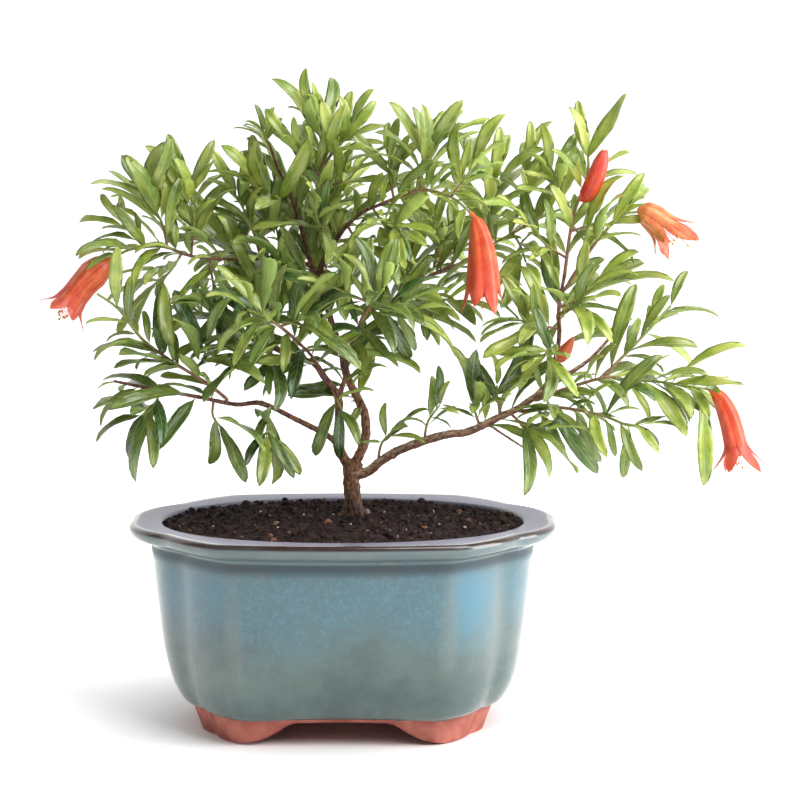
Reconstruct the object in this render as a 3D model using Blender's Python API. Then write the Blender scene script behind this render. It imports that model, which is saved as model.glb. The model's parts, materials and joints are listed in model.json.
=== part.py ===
"""Flowering dwarf pomegranate bonsai in a footed glazed pot.

Everything is laid out in millimetres: x right and y away from the pot's middle, z up from a level
just above the ground. The finished object is then moved as a whole so that the origin is the
bottom centre of its box.
"""

import math
import random
from collections import namedtuple

import bmesh
import bpy
from mathutils import Matrix, Vector, noise
from mathutils.bvhtree import BVHTree

MM = 0.001
GAP = 0.35                   # clearance between touching pieces

# Pot: an eight inch footed pot with a flat rim and bowed panels
POT_BASE = -3.0
RIM_TOP = 95.0
RIM_HALF_LENGTH = 101.5
RIM_HALF_DEPTH = 78.0
DEPTH_TAPER = 0.72           # how far the front draws in for each millimetre the ends do
FLOOR_TOP = 17.0
RECESS_TOP = 8.0            # hollow under the base, inside the foot ring
FOOT_WALL = 8.5
DRAIN_RADIUS = 7.0
DRAIN_SIDES = 12
DRAIN_SPACING = 76.0
BORE_SINK = 2.0              # how far a cutter runs past the face it opens

# A quarter of the rim's plan as arcs: start, end, rise over the chord, steps
PLAN_ARCS = [
    ((101.5, 0.0), (84.0, 43.0), 6.0, 4),
    ((84.0, 43.0), (56.0, 71.0), 2.0, 3),
    ((56.0, 71.0), (0.0, 78.0), 2.6, 4),
]
# The pot's outside, foot to lip: height, half length, share by which the plan's corners stand out
OUTSIDE = [
    (POT_BASE, 66.0, 0.08), (9.5, 70.5, 0.08), (14.0, 77.5, 0.06), (24.0, 82.0, 0.05),
    (36.0, 85.2, 0.03), (58.0, 88.2, 0.02), (86.0, 91.0, 0.0), (88.5, 98.5, 0.0),
    (91.0, 101.0, 0.0), (93.5, 101.5, 0.0), (RIM_TOP, 100.0, 0.0),
]
# Height and half length of the soil space
INSIDE = [(FLOOR_TOP, 66.0), (25.0, 73.5), (58.0, 81.5), (96.0, 87.0)]
INSIDE_DEPTH_RATIO = 0.73
INSIDE_ROUNDNESS = 2.1       # superellipse exponent of the soil space's plan
# Half of each foot arch, from the ground to its crown: distance from the middle, height over the base
FRONT_ARCH = [(48.0, -1.0), (47.0, 0.6), (40.0, 2.2), (33.0, 5.2), (28.0, 8.4), (22.0, 10.2)]
END_ARCH = [(17.0, -1.0), (16.0, 0.6), (12.5, 2.2), (8.0, 4.6), (5.0, 6.6)]

# Soil and drain screens
SOIL_EDGE = 91.0
SOIL_RISE = 5.5              # height of the mound at the stem over the soil's edge
SOIL_LUMPS = 1.1
SOIL_RINGS = 4
SCREEN_SIZE = 26.0
SCREEN_THICKNESS = 1.2
STEM_HOLE_RADIUS = 7.5
STEM_HOLE_SIDES = 16

# Leafy stems: straight start, end radii of a long one and of a side one
ROOT_STUB = 1.2
LONG_RADII = (1.1, 0.65)
SIDE_RADII = (0.8, 0.6)

# Leaf blades: station along the length, half width share, depth of the keel under the middle line
STATIONS = [(0.0, 0.0, 0.45), (0.36, 1.0, 0.75), (0.74, 0.8, 0.7)]
ROOT_HALF_WIDTH = 0.42
BLADE_ASPECT = 0.25          # width over length
BLADE_WIDEST = 9.5
BLADE_FOLD = 0.1             # rise of the edges over the middle line, times the half width
BLADE_CLEARANCE = 0.6
TEST_START = 0.12            # share of a blade next to its stem that may touch its neighbours
LEAF_SIZE = 0.9              # share of the length in the tables that a leaf really gets
NOTABLE_ARCH = 0.08          # rise of a hand placed leaf's middle over its chord, as a share of its length
NOTABLE_TURNS = (0, 25, -25, 50, -50, 75)
SEED = 11

Stem = namedtuple("Stem", "name parent at radii points")
Shoot = namedtuple("Shoot", "name parent at pairs leaf points")
Bloom = namedtuple("Bloom", "name parent at tip mouth lobes")

# Bark covered wood, one grown piece: name, parent, where on the parent's points, end radii, route
WOOD = [
    Stem("trunk", None, 0, (5.6, 6.7, 7.0, 5.0, 4.8, 5.8), [
        (5, 0, 61), (5, 0, 88), (5, 0, 93), (5, 0, 104), (4, 0, 114), (5, 0, 122)]),
    Stem("left_stem", "trunk", 4.6, (3.8, 1.3), [
        (-1, -1, 127), (-2, -3, 136), (-2, -6, 154), (-7, -8, 162), (-13, -11, 171),
        (-21, -13, 174), (-36, -17, 181), (-50, -20, 190)]),
    Stem("left_low", "left_stem", 1.4, (2.3, 0.9), [
        (-9, -5, 137), (-21, -11, 144), (-38, -17, 153), (-50, -21, 153),
        (-67, -25, 157), (-90, -31, 162), (-106, -36, 166)]),
    Stem("left_fork", "left_stem", 3.0, (1.9, 1.4), [
        (1, -4, 163), (2, -2, 170), (0, 1, 177)]),
    Stem("middle_stem", "trunk", 4.8, (3.7, 2.6), [
        (9, 1, 128), (11, 3, 136), (10, 5, 146), (4, 4, 159), (1, 3, 167), (0, 2, 175)]),
    Stem("right_low", "trunk", 4.2, (3.6, 2.3), [
        (12, -2, 118), (19, -4, 124), (29, -7, 130), (48, -11, 137), (60, -13, 139),
        (74, -15, 146), (84, -16, 151), (99, -17, 162)]),
    Stem("dead_stub", "right_low", 8, (1.9, 1.0), [
        (110, -17, 169), (118, -17, 175), (127, -17, 185)]),
    Stem("dead_twig", "right_low", 5.6, (0.9, 0.5), [(81, -16, 135), (91, -18, 129)]),
    Stem("leader", "middle_stem", 6, (2.5, 0.9), [
        (-4, 4, 185), (-7, 5, 195), (-12, 6, 208), (-16, 6, 220), (-19, 5, 232),
        (-22, 4, 242), (-25, 3, 252), (-30, 2, 262), (-34, 1, 273)]),
    Stem("top_shoot", "leader", 2.8, (1.5, 1.0), [(-7, 1, 222), (-6, -4, 237), (-8, -7, 250)]),
    Stem("arching", "leader", 3.2, (1.7, 1.3), [(-6, 0, 225), (7, -10, 241), (21, -16, 248)]),
    Stem("diagonal", "middle_stem", 5.5, (2.1, 1.3), [
        (10, 5, 183), (25, 11, 197), (39, 16, 209), (56, 21, 216)]),
    Stem("right_riser", "right_low", 7.8, (2.0, 1.3), [
        (101, -12, 173), (103, -7, 185), (103, -1, 196), (106, 6, 212)]),
    Stem("left_top", "leader", 3.6, (1.5, 1.2), [(-26, 2, 221), (-46, -3, 220)]),
    Stem("back_left", "leader", 0.6, (1.7, 1.1), [(-14, 16, 196), (-28, 30, 206)]),
    Stem("back_right", "diagonal", 1.6, (1.5, 1.1), [(34, 24, 206), (46, 38, 214)]),
    Stem("back_middle", "leader", 2.4, (1.5, 1.1), [(-9, 22, 220), (-5, 36, 231)]),
    Stem("front_left", "left_stem", 4.0, (1.4, 1.0), [(-14, -22, 176), (-23, -36, 187)]),
    Stem("front_middle", "middle_stem", 5.0, (1.4, 1.0), [(4, -14, 180), (9, -29, 193)]),
]

# Leafy stems: name, parent, where on the parent's points, leaf pairs, leaf length, route.
# One that grows on another leafy stem belongs to the same node.
SHOOTS = [
    Shoot("spray_left_top", "left_top", 2, 1, 22, [
        (-70, -10, 222), (-84, -14, 227), (-99, -18, 226), (-108, -20, 221)]),
    Shoot("left_end", "spray_left_top", 2.6, 1, 19, [(-103, -15, 238)]),
    Shoot("left_crest", "spray_left_top", 1.9, 3, 27, [(-92, -10, 250)]),
    Shoot("left_upper", "spray_left_top", 1.1, 2, 26, [(-72, -7, 255)]),
    Shoot("left_hanging", "spray_left_top", 1.4, 1, 28, [(-87, -18, 209)]),
    Shoot("left_drop", "spray_left_top", 0.7, 1, 30, [(-58, -18, 200)]),
    Shoot("spray_left_rise", "left_top", 1.65, 2, 24, [(-50, 0, 250)]),
    Shoot("spray_left_inner", "left_top", 1.2, 2, 25, [(-36, 2, 243)]),
    Shoot("spray_left_front", "left_top", 1.5, 2, 27, [(-42, -26, 205)]),
    Shoot("spray_left_back", "left_top", 1.8, 1, 26, [(-56, 22, 226)]),
    Shoot("spray_leader_leaf", "leader", 6.4, 2, 30, [(-38, -4, 252)]),
    Shoot("spray_leader_tip", "leader", 9, 2, 13, [(-37, 0, 280)]),
    Shoot("spray_leader_back", "leader", 4.5, 1, 26, [(-20, 28, 243)]),
    Shoot("spray_leader_right", "leader", 5.2, 2, 24, [(0, 14, 250)]),
    Shoot("spray_leader_front", "leader", 3.4, 2, 27, [(-27, -20, 214)]),
    Shoot("spray_top", "top_shoot", 3, 2, 24, [(-9, -8, 266), (-10, -6, 278), (-14, -5, 288)]),
    Shoot("top_left", "spray_top", 0.6, 2, 24, [(-22, -8, 272)]),
    Shoot("top_right", "spray_top", 1.0, 2, 26, [(4, -12, 280)]),
    Shoot("top_low", "spray_top", 0.3, 1, 25, [(6, -14, 262)]),
    Shoot("spray_top_front", "top_shoot", 1.8, 2, 26, [(-12, -27, 244)]),
    Shoot("spray_arching", "arching", 3, 1, 24, [(37, -22, 254), (51, -26, 251), (60, -28, 244)]),
    Shoot("arch_rise", "spray_arching", 0.25, 1, 24, [(22, -17, 268)]),
    Shoot("arch_crest", "spray_arching", 1.0, 3, 30, [(39, -21, 271)]),
    Shoot("arch_far", "spray_arching", 2.0, 2, 29, [(62, -23, 266)]),
    Shoot("spray_arch_front", "arching", 2.6, 2, 26, [(28, -38, 236)]),
    Shoot("spray_arch_low", "arching", 1.7, 2, 27, [(12, -27, 226)]),
    Shoot("spray_diagonal_end", "diagonal", 4, 2, 24, [
        (76, 26, 227), (96, 29, 238), (106, 30, 242)]),
    Shoot("diagonal_crest", "spray_diagonal_end", 0.8, 3, 28, [(73, 22, 256)]),
    Shoot("diagonal_top", "spray_diagonal_end", 1.6, 2, 21, [(90, 26, 266)]),
    Shoot("diagonal_drop", "spray_diagonal_end", 1.3, 2, 25, [(88, 16, 217)]),
    Shoot("spray_diagonal_rise", "diagonal", 3.5, 2, 22, [(43, 4, 240)]),
    Shoot("spray_diagonal_inner", "diagonal", 2.0, 2, 26, [(32, -6, 214)]),
    Shoot("spray_diagonal_low", "diagonal", 2.7, 2, 26, [(52, 4, 200)]),
    Shoot("spray_diagonal_back", "diagonal", 3.8, 1, 26, [(64, 46, 226)]),
    Shoot("spray_right_top", "right_riser", 4, 2, 24, [
        (109, 11, 233), (112, 12, 245), (117, 12, 259), (117, 12, 272)]),
    Shoot("right_crest", "spray_right_top", 1.6, 3, 24, [(100, 10, 262)]),
    Shoot("right_side", "spray_right_top", 1.0, 2, 26, [(127, 8, 236)]),
    Shoot("right_left", "spray_right_top", 0.4, 2, 23, [(90, 4, 234)]),
    Shoot("spray_right_bloom", "right_riser", 3.6, 1, 24, [(121, 4, 228), (133, 6, 240), (141, 7, 242)]),
    Shoot("spray_right_long", "right_riser", 3.1, 1, 27, [(121, 0, 209)]),
    Shoot("spray_right_front", "right_riser", 2.8, 2, 27, [(112, -20, 200)]),
    Shoot("spray_right_inner", "right_riser", 2.2, 2, 28, [(84, -12, 192)]),
    Shoot("spray_right_low", "right_riser", 1.2, 2, 26, [(94, -32, 176)]),
    Shoot("spray_right_back", "right_riser", 2.5, 1, 26, [(104, 26, 206)]),
    Shoot("spray_right_far", "right_low", 7.5, 2, 24, [
        (104, -21, 160), (124, -22, 166), (133, -22, 165), (150, -24, 164), (172, -28, 161)]),
    Shoot("right_up", "spray_right_far", 2.0, 2, 20, [(129, -19, 172), (141, -12, 183), (156, -4, 198)]),
    Shoot("spray_right_under", "right_low", 7.0, 1, 20, [
        (100, -23, 152), (121, -28, 149), (133, -33, 145), (139, -35, 145)]),
    Shoot("spray_right_drop", "right_low", 6.6, 1, 24, [(94, -28, 141)]),
    Shoot("spray_right_dark", "right_low", 6.2, 1, 20, [(73, -22, 162)]),
    Shoot("spray_right_pair", "right_low", 5.4, 1, 26, [(62, -15, 154)]),
    Shoot("spray_right_twig", "right_low", 3.6, 1, 16, [(46, -17, 152)]),
    Shoot("spray_fork_twig", "right_low", 2.0, 1, 17, [(27, -13, 142)]),
    Shoot("spray_left_mid", "left_low", 4.3, 2, 24, [
        (-64, -25, 164), (-79, -28, 174), (-93, -30, 185), (-104, -29, 199), (-114, -28, 206)]),
    Shoot("left_mid_rise", "spray_left_mid", 1.4, 2, 27, [(-63, -32, 184)]),
    Shoot("spray_left_low_end", "left_low", 5.8, 1, 26, [(-93, -36, 150)]),
    Shoot("spray_left_low_hang", "left_low", 4.6, 1, 28, [(-57, -27, 143)]),
    Shoot("spray_left_low_front", "left_low", 2.8, 1, 28, [(-35, -31, 140)]),
    Shoot("spray_left_stem_mid", "left_stem", 6.4, 2, 31, [(-46, -36, 178)]),
    Shoot("spray_left_stem_end", "left_stem", 8, 2, 30, [(-70, -24, 197)]),
    Shoot("spray_left_stem_rise", "left_stem", 7.2, 2, 27, [(-40, -12, 207)]),
    Shoot("spray_stem_leaf", "left_stem", 3.6, 1, 24, [(0, -20, 150)]),
    Shoot("spray_back_left", "back_left", 2, 2, 26, [(-46, 46, 216), (-62, 58, 222)]),
    Shoot("back_left_side", "spray_back_left", 0.5, 1, 26, [(-22, 50, 214)]),
    Shoot("spray_back_right", "back_right", 2, 2, 26, [(58, 52, 222), (72, 64, 226)]),
    Shoot("back_right_side", "spray_back_right", 0.5, 1, 26, [(32, 54, 226)]),
    Shoot("spray_back_middle", "back_middle", 2, 2, 26, [(-2, 50, 241), (4, 62, 250)]),
    Shoot("back_middle_side", "spray_back_middle", 0.5, 1, 26, [(-26, 44, 244)]),
    Shoot("spray_front_left", "front_left", 2, 2, 27, [(-32, -50, 196), (-42, -62, 202)]),
    Shoot("front_left_side", "spray_front_left", 0.6, 1, 27, [(-12, -52, 198)]),
    Shoot("spray_front_middle", "front_middle", 2, 2, 27, [(15, -45, 204), (20, -59, 211)]),
    Shoot("front_middle_side", "spray_front_middle", 0.6, 2, 27, [(30, -36, 198)]),
    Shoot("front_middle_left", "spray_front_middle", 0.9, 1, 27, [(-6, -46, 212)]),
]

# Single leaves that shape the outline: stem, where on its points, tip
NOTABLE_LEAVES = [
    ("spray_left_top", 3.3, (-123, -10, 222)),
    ("left_end", 0.9, (-104, -14, 250)),
    ("left_crest", 0.6, (-100, -16, 268)),
    ("left_upper", 0.9, (-61, -8, 275)),
    ("spray_left_rise", 0.9, (-46, 4, 270)),
    ("left_hanging", 0.6, (-106, -14, 213)),
    ("left_hanging", 0.9, (-84, -20, 179)),
    ("left_drop", 0.5, (-52, -12, 181)),
    ("spray_leader_leaf", 0.5, (-61, -12, 262)),
    ("spray_top", 2.2, (-31, -3, 304)),
    ("top_right", 0.8, (15, -10, 294)),
    ("top_right", 0.6, (4, -8, 298)),
    ("arch_rise", 0.9, (26, -18, 286)),
    ("arch_crest", 0.8, (34, -22, 291)),
    ("arch_crest", 0.9, (55, -22, 290)),
    ("arch_far", 0.9, (68, -20, 286)),
    ("diagonal_crest", 0.9, (75, 22, 280)),
    ("diagonal_top", 0.9, (90, 26, 283)),
    ("spray_right_top", 3.6, (109, 11, 290)),
    ("spray_right_top", 3.8, (125, 12, 286)),
    ("right_crest", 0.6, (90, 8, 260)),
    ("right_side", 0.85, (146, 12, 238)),
    ("spray_right_bloom", 1.6, (142, 4, 259)),
    ("spray_right_long", 0.4, (154, -2, 211)),
    ("spray_right_inner", 0.8, (67, -16, 190)),
    ("spray_right_far", 4.2, (187, -22, 181)),
    ("spray_right_far", 4.8, (170, -36, 120)),
    ("spray_right_far", 3.5, (160, -38, 143)),
    ("right_up", 0.6, (137, -16, 207)),
    ("right_up", 2.0, (153, -16, 203)),
    ("right_up", 1.5, (165, -20, 181)),
    ("right_up", 2.8, (170, -4, 196)),
    ("spray_right_under", 0.8, (119, -30, 124)),
    ("spray_right_under", 2.2, (147, -32, 176)),
    ("spray_right_under", 3.2, (132, -36, 122)),
    ("spray_right_pair", 0.8, (52, -16, 179)),
    ("spray_right_pair", 0.9, (64, -12, 174)),
    ("spray_left_mid", 2.4, (-114, -33, 180)),
    ("spray_left_low_end", 0.8, (-99, -36, 131)),
    ("spray_left_low_hang", 0.8, (-49, -25, 128)),
    ("spray_left_low_front", 0.9, (-20, -27, 122)),
    ("spray_stem_leaf", 0.8, (-1, -17, 128)),
]

# Flowers: name, parent, where on it, tip of the lobes, half width at the mouth, lobe count
BLOOMS = [
    Bloom("bloom_left", "spray_left_top", 4, (-133, -25, 193), 8.0, 6),
    Bloom("bloom_centre", "spray_arching", 3, (66, -29, 196), 8.5, 6),
    Bloom("bloom_right_upper", "spray_right_bloom", 3, (163, 4, 223), 9.0, 6),
    Bloom("bloom_right_low", "spray_right_far", 5, (187, -31, 122), 9.5, 6),
    Bloom("bud_top", "spray_right_top", 2.2, (125, 7, 272), 5.2, 6),
    Bloom("bud_hidden", "right_riser", 1.0, (109, -20, 185), 3.2, 5),
]

# Turns, tilts and sizes tried for a leaf until it lies clear of its neighbours: degrees, degrees, share
LEAF_TRIES = [
    (0, 0, 1.0), (25, 0, 1.0), (-25, 0, 1.0), (0, 18, 1.0), (0, -18, 1.0), (50, 0, 0.95),
    (-50, 0, 0.95), (80, 8, 0.9), (-80, 8, 0.9), (0, 0, 0.75), (35, -12, 0.75), (-35, -12, 0.75),
]
WOOD_NODE = "trunk_and_branches"


# Small helpers

def remove_everything():
    for old in list(bpy.data.objects):
        bpy.data.objects.remove(old, do_unlink=True)


def new_collection(name, parent):
    collection = bpy.data.collections.new(name)
    parent.children.link(collection)
    return collection


def new_material(name, colour, roughness, metallic=0.0):
    material = bpy.data.materials.new(name)
    material.use_nodes = True
    shader = material.node_tree.nodes["Principled BSDF"]
    shader.inputs["Base Color"].default_value = (*colour, 1.0)
    shader.inputs["Roughness"].default_value = roughness
    shader.inputs["Metallic"].default_value = metallic
    material.diffuse_color = (*colour, 1.0)
    return material


def add_object(name, mesh, collection, material=None):
    obj = bpy.data.objects.new(name, mesh)
    collection.objects.link(obj)
    if material:
        mesh.materials.clear()
        mesh.materials.append(material)
    return obj


def mesh_of(name, points, faces):
    mesh = bpy.data.meshes.new(name)
    mesh.from_pydata([Vector(point) * MM for point in points], [], faces)
    mesh.update()
    return mesh


def loft(name, rings):
    """A closed skin over rings with equal numbers of points; each ring turns left about the way up."""
    count = len(rings[0])
    faces = []
    for level in range(len(rings) - 1):
        low = level * count
        high = low + count
        for i in range(count):
            j = (i + 1) % count
            faces.append((low + i, low + j, high + j, high + i))
    last = (len(rings) - 1) * count
    faces.append(tuple(reversed(range(count))))
    faces.append(tuple(range(last, last + count)))
    return mesh_of(name, [point for ring in rings for point in ring], faces)


def boolean(obj, operation, other=None, collection=None):
    modifier = obj.modifiers.new(operation.lower(), "BOOLEAN")
    modifier.operation = operation
    modifier.solver = "EXACT"
    if collection:
        modifier.operand_type = "COLLECTION"
        modifier.collection = collection
    else:
        modifier.object = other
    return modifier


def add_cutter(name, mesh, collection):
    cutter = add_object(name, mesh, collection)
    cutter.hide_render = True
    cutter.display_type = "WIRE"
    return cutter


def evaluated_mesh(obj):
    bpy.context.view_layer.update()
    graph = bpy.context.evaluated_depsgraph_get()
    return bpy.data.meshes.new_from_object(obj.evaluated_get(graph), depsgraph=graph)


def smooth_shading(mesh, degrees=35):
    mesh.shade_smooth()
    mesh.set_sharp_from_angle(angle=math.radians(degrees))


# Pot, screens and soil

def arc_points(start, end, rise, steps):
    """Points from start up to, but not on, end along an arc that stands off its chord."""
    first = Vector(start)
    chord = Vector(end) - first
    outward = Vector((chord.y, -chord.x)).normalized()
    shares = [i / steps for i in range(steps)]
    return [first + chord * t + outward * (4 * rise * t * (1 - t)) for t in shares]


def rim_plan():
    quarter = [p for start, end, rise, steps in PLAN_ARCS for p in arc_points(start, end, rise, steps)]
    front = Vector((0.0, RIM_HALF_DEPTH))
    half = quarter + [front] + [Vector((-p.x, p.y)) for p in reversed(quarter[1:])]
    return half + [-p for p in half]


def outside_ring(plan, height, half_length, corner=0.0):
    half_depth = RIM_HALF_DEPTH - DEPTH_TAPER * (RIM_HALF_LENGTH - half_length)
    ring = []
    for p in plan:
        across = p.x / RIM_HALF_LENGTH
        away = p.y / RIM_HALF_DEPTH
        push = 1 + corner * 4 * across ** 2 * away ** 2
        ring.append((across * push * half_length, away * push * half_depth, height))
    return ring


def inside_ring(count, height, half_length, inset=0.0):
    power = 2 / INSIDE_ROUNDNESS
    long_half = half_length - inset
    short_half = half_length * INSIDE_DEPTH_RATIO - inset
    ring = []
    for i in range(count):
        angle = math.tau * i / count
        c = math.cos(angle)
        s = math.sin(angle)
        x = math.copysign(abs(c) ** power, c) * long_half
        y = math.copysign(abs(s) ** power, s) * short_half
        ring.append((x, y, height))
    return ring


def inside_half_length(height):
    for (low, a), (high, b) in zip(INSIDE, INSIDE[1:]):
        if height <= high:
            return a + (b - a) * (height - low) / (high - low)
    return INSIDE[-1][1]


def arch_cutter(half_profile, along_x):
    """A prism with the arch's outline, run right through under the pot."""
    right = [(across, POT_BASE + rise) for across, rise in half_profile]
    outline = right + [(-across, z) for across, z in reversed(right)]
    reach = RIM_HALF_LENGTH
    if along_x:
        rings = [[(y, x, z) for x, z in outline] for y in (-reach, reach)]
    else:
        rings = [[(x, y, z) for x, z in outline] for y in (reach, -reach)]
    return loft("arch", rings)


def upright_cylinder(name, x, radius, low, high, sides, collection):
    mesh = bpy.data.meshes.new(name)
    shape = bmesh.new()
    bmesh.ops.create_cone(
        shape, cap_ends=True, segments=sides, radius1=radius * MM, radius2=radius * MM,
        depth=(high - low) * MM,
        matrix=Matrix.Translation((x * MM, 0.0, (low + high) / 2 * MM)))
    shape.to_mesh(mesh)
    shape.free()
    return add_cutter(name, mesh, collection)


def block(x, size, low, high):
    mesh = bpy.data.meshes.new("block")
    shape = bmesh.new()
    scale = Matrix.Diagonal((size * MM, size * MM, (high - low) * MM, 1.0))
    place = Matrix.Translation((x * MM, 0.0, (low + high) / 2 * MM))
    bmesh.ops.create_cube(shape, size=1.0, matrix=place @ scale)
    shape.to_mesh(mesh)
    shape.free()
    return mesh


def make_pot(parts, cutters, material):
    plan = rim_plan()
    pot = add_object("pot", loft("pot", [outside_ring(plan, *level) for level in OUTSIDE]), parts, material)
    soil_space = add_cutter(
        "soil_space", loft("soil_space", [inside_ring(len(plan), *level) for level in INSIDE]), cutters)
    foot_length = OUTSIDE[0][1] - FOOT_WALL
    corner = OUTSIDE[0][2]
    recess_levels = [
        (POT_BASE - BORE_SINK, foot_length, corner), (RECESS_TOP, foot_length, corner)]
    recess = add_cutter(
        "recess", loft("recess", [outside_ring(plan, *level) for level in recess_levels]), cutters)
    front_arch = add_cutter("front_arch", arch_cutter(FRONT_ARCH, False), cutters)
    end_arch = add_cutter("end_arch", arch_cutter(END_ARCH, True), cutters)
    drains = []
    for side in (-1, 1):
        drains.append(upright_cylinder(
            "drain_bore", side * DRAIN_SPACING / 2, DRAIN_RADIUS, RECESS_TOP - BORE_SINK,
            FLOOR_TOP + BORE_SINK, DRAIN_SIDES, cutters))
    for cutter in [soil_space, recess, front_arch, end_arch] + drains:
        boolean(pot, "DIFFERENCE", cutter)
    return pot


def make_screens(parts, material):
    low = FLOOR_TOP + GAP
    for side, word in ((-1, "left"), (1, "right")):
        mesh = block(side * DRAIN_SPACING / 2, SCREEN_SIZE, low, low + SCREEN_THICKNESS)
        add_object(f"drain_screen_{word}", mesh, parts, material)


def soil_ring(count, share):
    """A ring of the soil's surface, at a share of the way from the stem to the wall."""
    ring = []
    for x, y, _ in inside_ring(count, SOIL_EDGE, inside_half_length(SOIL_EDGE), GAP):
        px = x * share
        py = y * share
        lump = noise.noise(Vector((px, py, 0.0)) * 0.09) * SOIL_LUMPS * (1 - share ** 4)
        ring.append((px, py, SOIL_EDGE + SOIL_RISE * (1 - share ** 2) + lump))
    return ring


def make_soil(parts, cutters, material):
    count = len(rim_plan())
    low = FLOOR_TOP + GAP
    heights = [low] + [height for height, _ in INSIDE[1:-1]] + [SOIL_EDGE]
    rings = [inside_ring(count, height, inside_half_length(height), GAP) for height in heights]
    rings += [soil_ring(count, 1 - step / SOIL_RINGS) for step in range(1, SOIL_RINGS)]
    soil = add_object("soil", loft("soil", rings), parts, material)
    trunk_foot = WOOD[0].points[0]
    bore = upright_cylinder(
        "stem_hole", trunk_foot[0], STEM_HOLE_RADIUS, trunk_foot[2] - GAP, RIM_TOP + 20,
        STEM_HOLE_SIDES, cutters)
    boolean(soil, "DIFFERENCE", bore)
    pocket_top = low + SCREEN_THICKNESS + GAP
    for side in (-1, 1):
        mesh = block(side * DRAIN_SPACING / 2, SCREEN_SIZE + 2 * GAP, FLOOR_TOP - BORE_SINK, pocket_top)
        boolean(soil, "DIFFERENCE", add_cutter("screen_pocket", mesh, cutters))
    return soil


# Stems

class Route:
    """A stem's points and radii, from its root to its end."""

    def __init__(self, node, points, radii, marks=None):
        self.node = node
        self.points = [Vector(point) for point in points]
        self.marks = marks or list(range(len(self.points)))
        last = len(self.points) - 1
        if len(radii) != len(self.points):
            first, end = radii
            radii = [first + (end - first) * i / last for i in range(last + 1)]
        self.radii = list(radii)

    def between(self, first, end, share):
        """Point, direction and radius at a share of the way from one of the points to another."""
        steps = [self.points[i + 1] - self.points[i] for i in range(first, end)]
        goal = share * sum(step.length for step in steps)
        low = first
        while low < end - 1 and goal > steps[low - first].length:
            goal -= steps[low - first].length
            low += 1
        step = steps[low - first]
        part = min(goal / step.length, 1.0)
        radius = self.radii[low] + (self.radii[low + 1] - self.radii[low]) * part
        return self.points[low] + step * part, step.normalized(), radius

    def at(self, index):
        """The same at a place counted in the points that the tables list, from the root."""
        last = len(self.marks) - 1
        low = min(int(index), last - 1)
        return self.between(self.marks[low], self.marks[low + 1], min(index, last) - low)

    def along(self, share):
        """The same at a share of the whole length."""
        return self.between(0, len(self.points) - 1, share)

    def is_end(self, index):
        return index >= len(self.marks) - 1


def tube_mesh(points, radii, resolution):
    """A tapered tube with closed ends: a curve with a bevel, made a mesh and welded."""
    curve = bpy.data.curves.new("tube", "CURVE")
    curve.dimensions = "3D"
    curve.bevel_depth = MM
    curve.bevel_resolution = resolution
    curve.use_fill_caps = True
    spline = curve.splines.new("POLY")
    spline.points.add(len(points) - 1)
    for spline_point, point, radius in zip(spline.points, points, radii):
        spline_point.co = (*(Vector(point) * MM), 1.0)
        spline_point.radius = radius
    guide = bpy.data.objects.new("tube", curve)
    bpy.context.scene.collection.objects.link(guide)
    mesh = evaluated_mesh(guide)
    bpy.data.objects.remove(guide)
    bpy.data.curves.remove(curve)
    shape = bmesh.new()
    shape.from_mesh(mesh)
    bmesh.ops.remove_doubles(shape, verts=shape.verts, dist=0.00001)
    bmesh.ops.recalc_face_normals(shape, faces=shape.faces)
    shape.to_mesh(mesh)
    shape.free()
    return mesh


def join_all(name, meshes, parts, material):
    """One solid from overlapping meshes, by one union on a collection."""
    first = add_object(name, meshes[0], parts, material)
    if len(meshes) > 1:
        repeats = new_collection(name + "_repeats", bpy.context.scene.collection)
        for i, mesh in enumerate(meshes[1:]):
            add_object(f"{name}_repeat_{i}", mesh, repeats)
        union = boolean(first, "UNION", collection=repeats)
        joined = evaluated_mesh(first)
        first.modifiers.remove(union)
        first.data = joined
        joined.materials.clear()
        joined.materials.append(material)
        for repeat in list(repeats.objects):
            bpy.data.objects.remove(repeat)
        bpy.data.collections.remove(repeats)
    smooth_shading(first.data)
    return first


def wood_routes():
    routes = {}
    for stem in WOOD:
        points = list(stem.points)
        if stem.parent:
            points.insert(0, routes[stem.parent].at(stem.at)[0])
        routes[stem.name] = Route(WOOD_NODE, points, stem.radii)
    return routes


def make_wood(routes, parts, material):
    meshes = []
    for stem in WOOD:
        route = routes[stem.name]
        resolution = 2 if stem.name == "trunk" else 1
        meshes.append(tube_mesh(route.points, route.radii, resolution))
    return join_all(WOOD_NODE, meshes, parts, material)


def shoot_root(parent, at, towards, same_node):
    """Where a shoot leaves its parent and in which direction."""
    point, direction, radius = parent.at(at)
    if parent.is_end(at):
        return (point if same_node else point + direction * GAP), direction
    outward = towards - point
    outward -= direction * outward.dot(direction)
    outward.normalize()
    return (point if same_node else point + outward * (radius + GAP)), outward


def curved_points(root, outward, tip, lean):
    """Four points from a root to a tip: straight out first, then over to the tip."""
    span = tip - root
    control = root + outward * (0.32 * span.length) + span * 0.22 + lean
    middle = root * 0.25 + control * 0.5 + tip * 0.25
    return [root, root + outward * ROOT_STUB, middle, tip]


def leans(root, tip):
    """Sideways shifts tried for a shoot until it lies clear of its neighbours."""
    span = tip - root
    side = span.orthogonal().normalized()
    shifts = [Vector((0.0, 0.0, 0.0))]
    for reach in (0.2, 0.4, 0.6):
        for turn in range(8):
            shifts.append(Matrix.Rotation(turn * math.tau / 8, 3, span) @ side * (reach * span.length))
    return shifts


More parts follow.
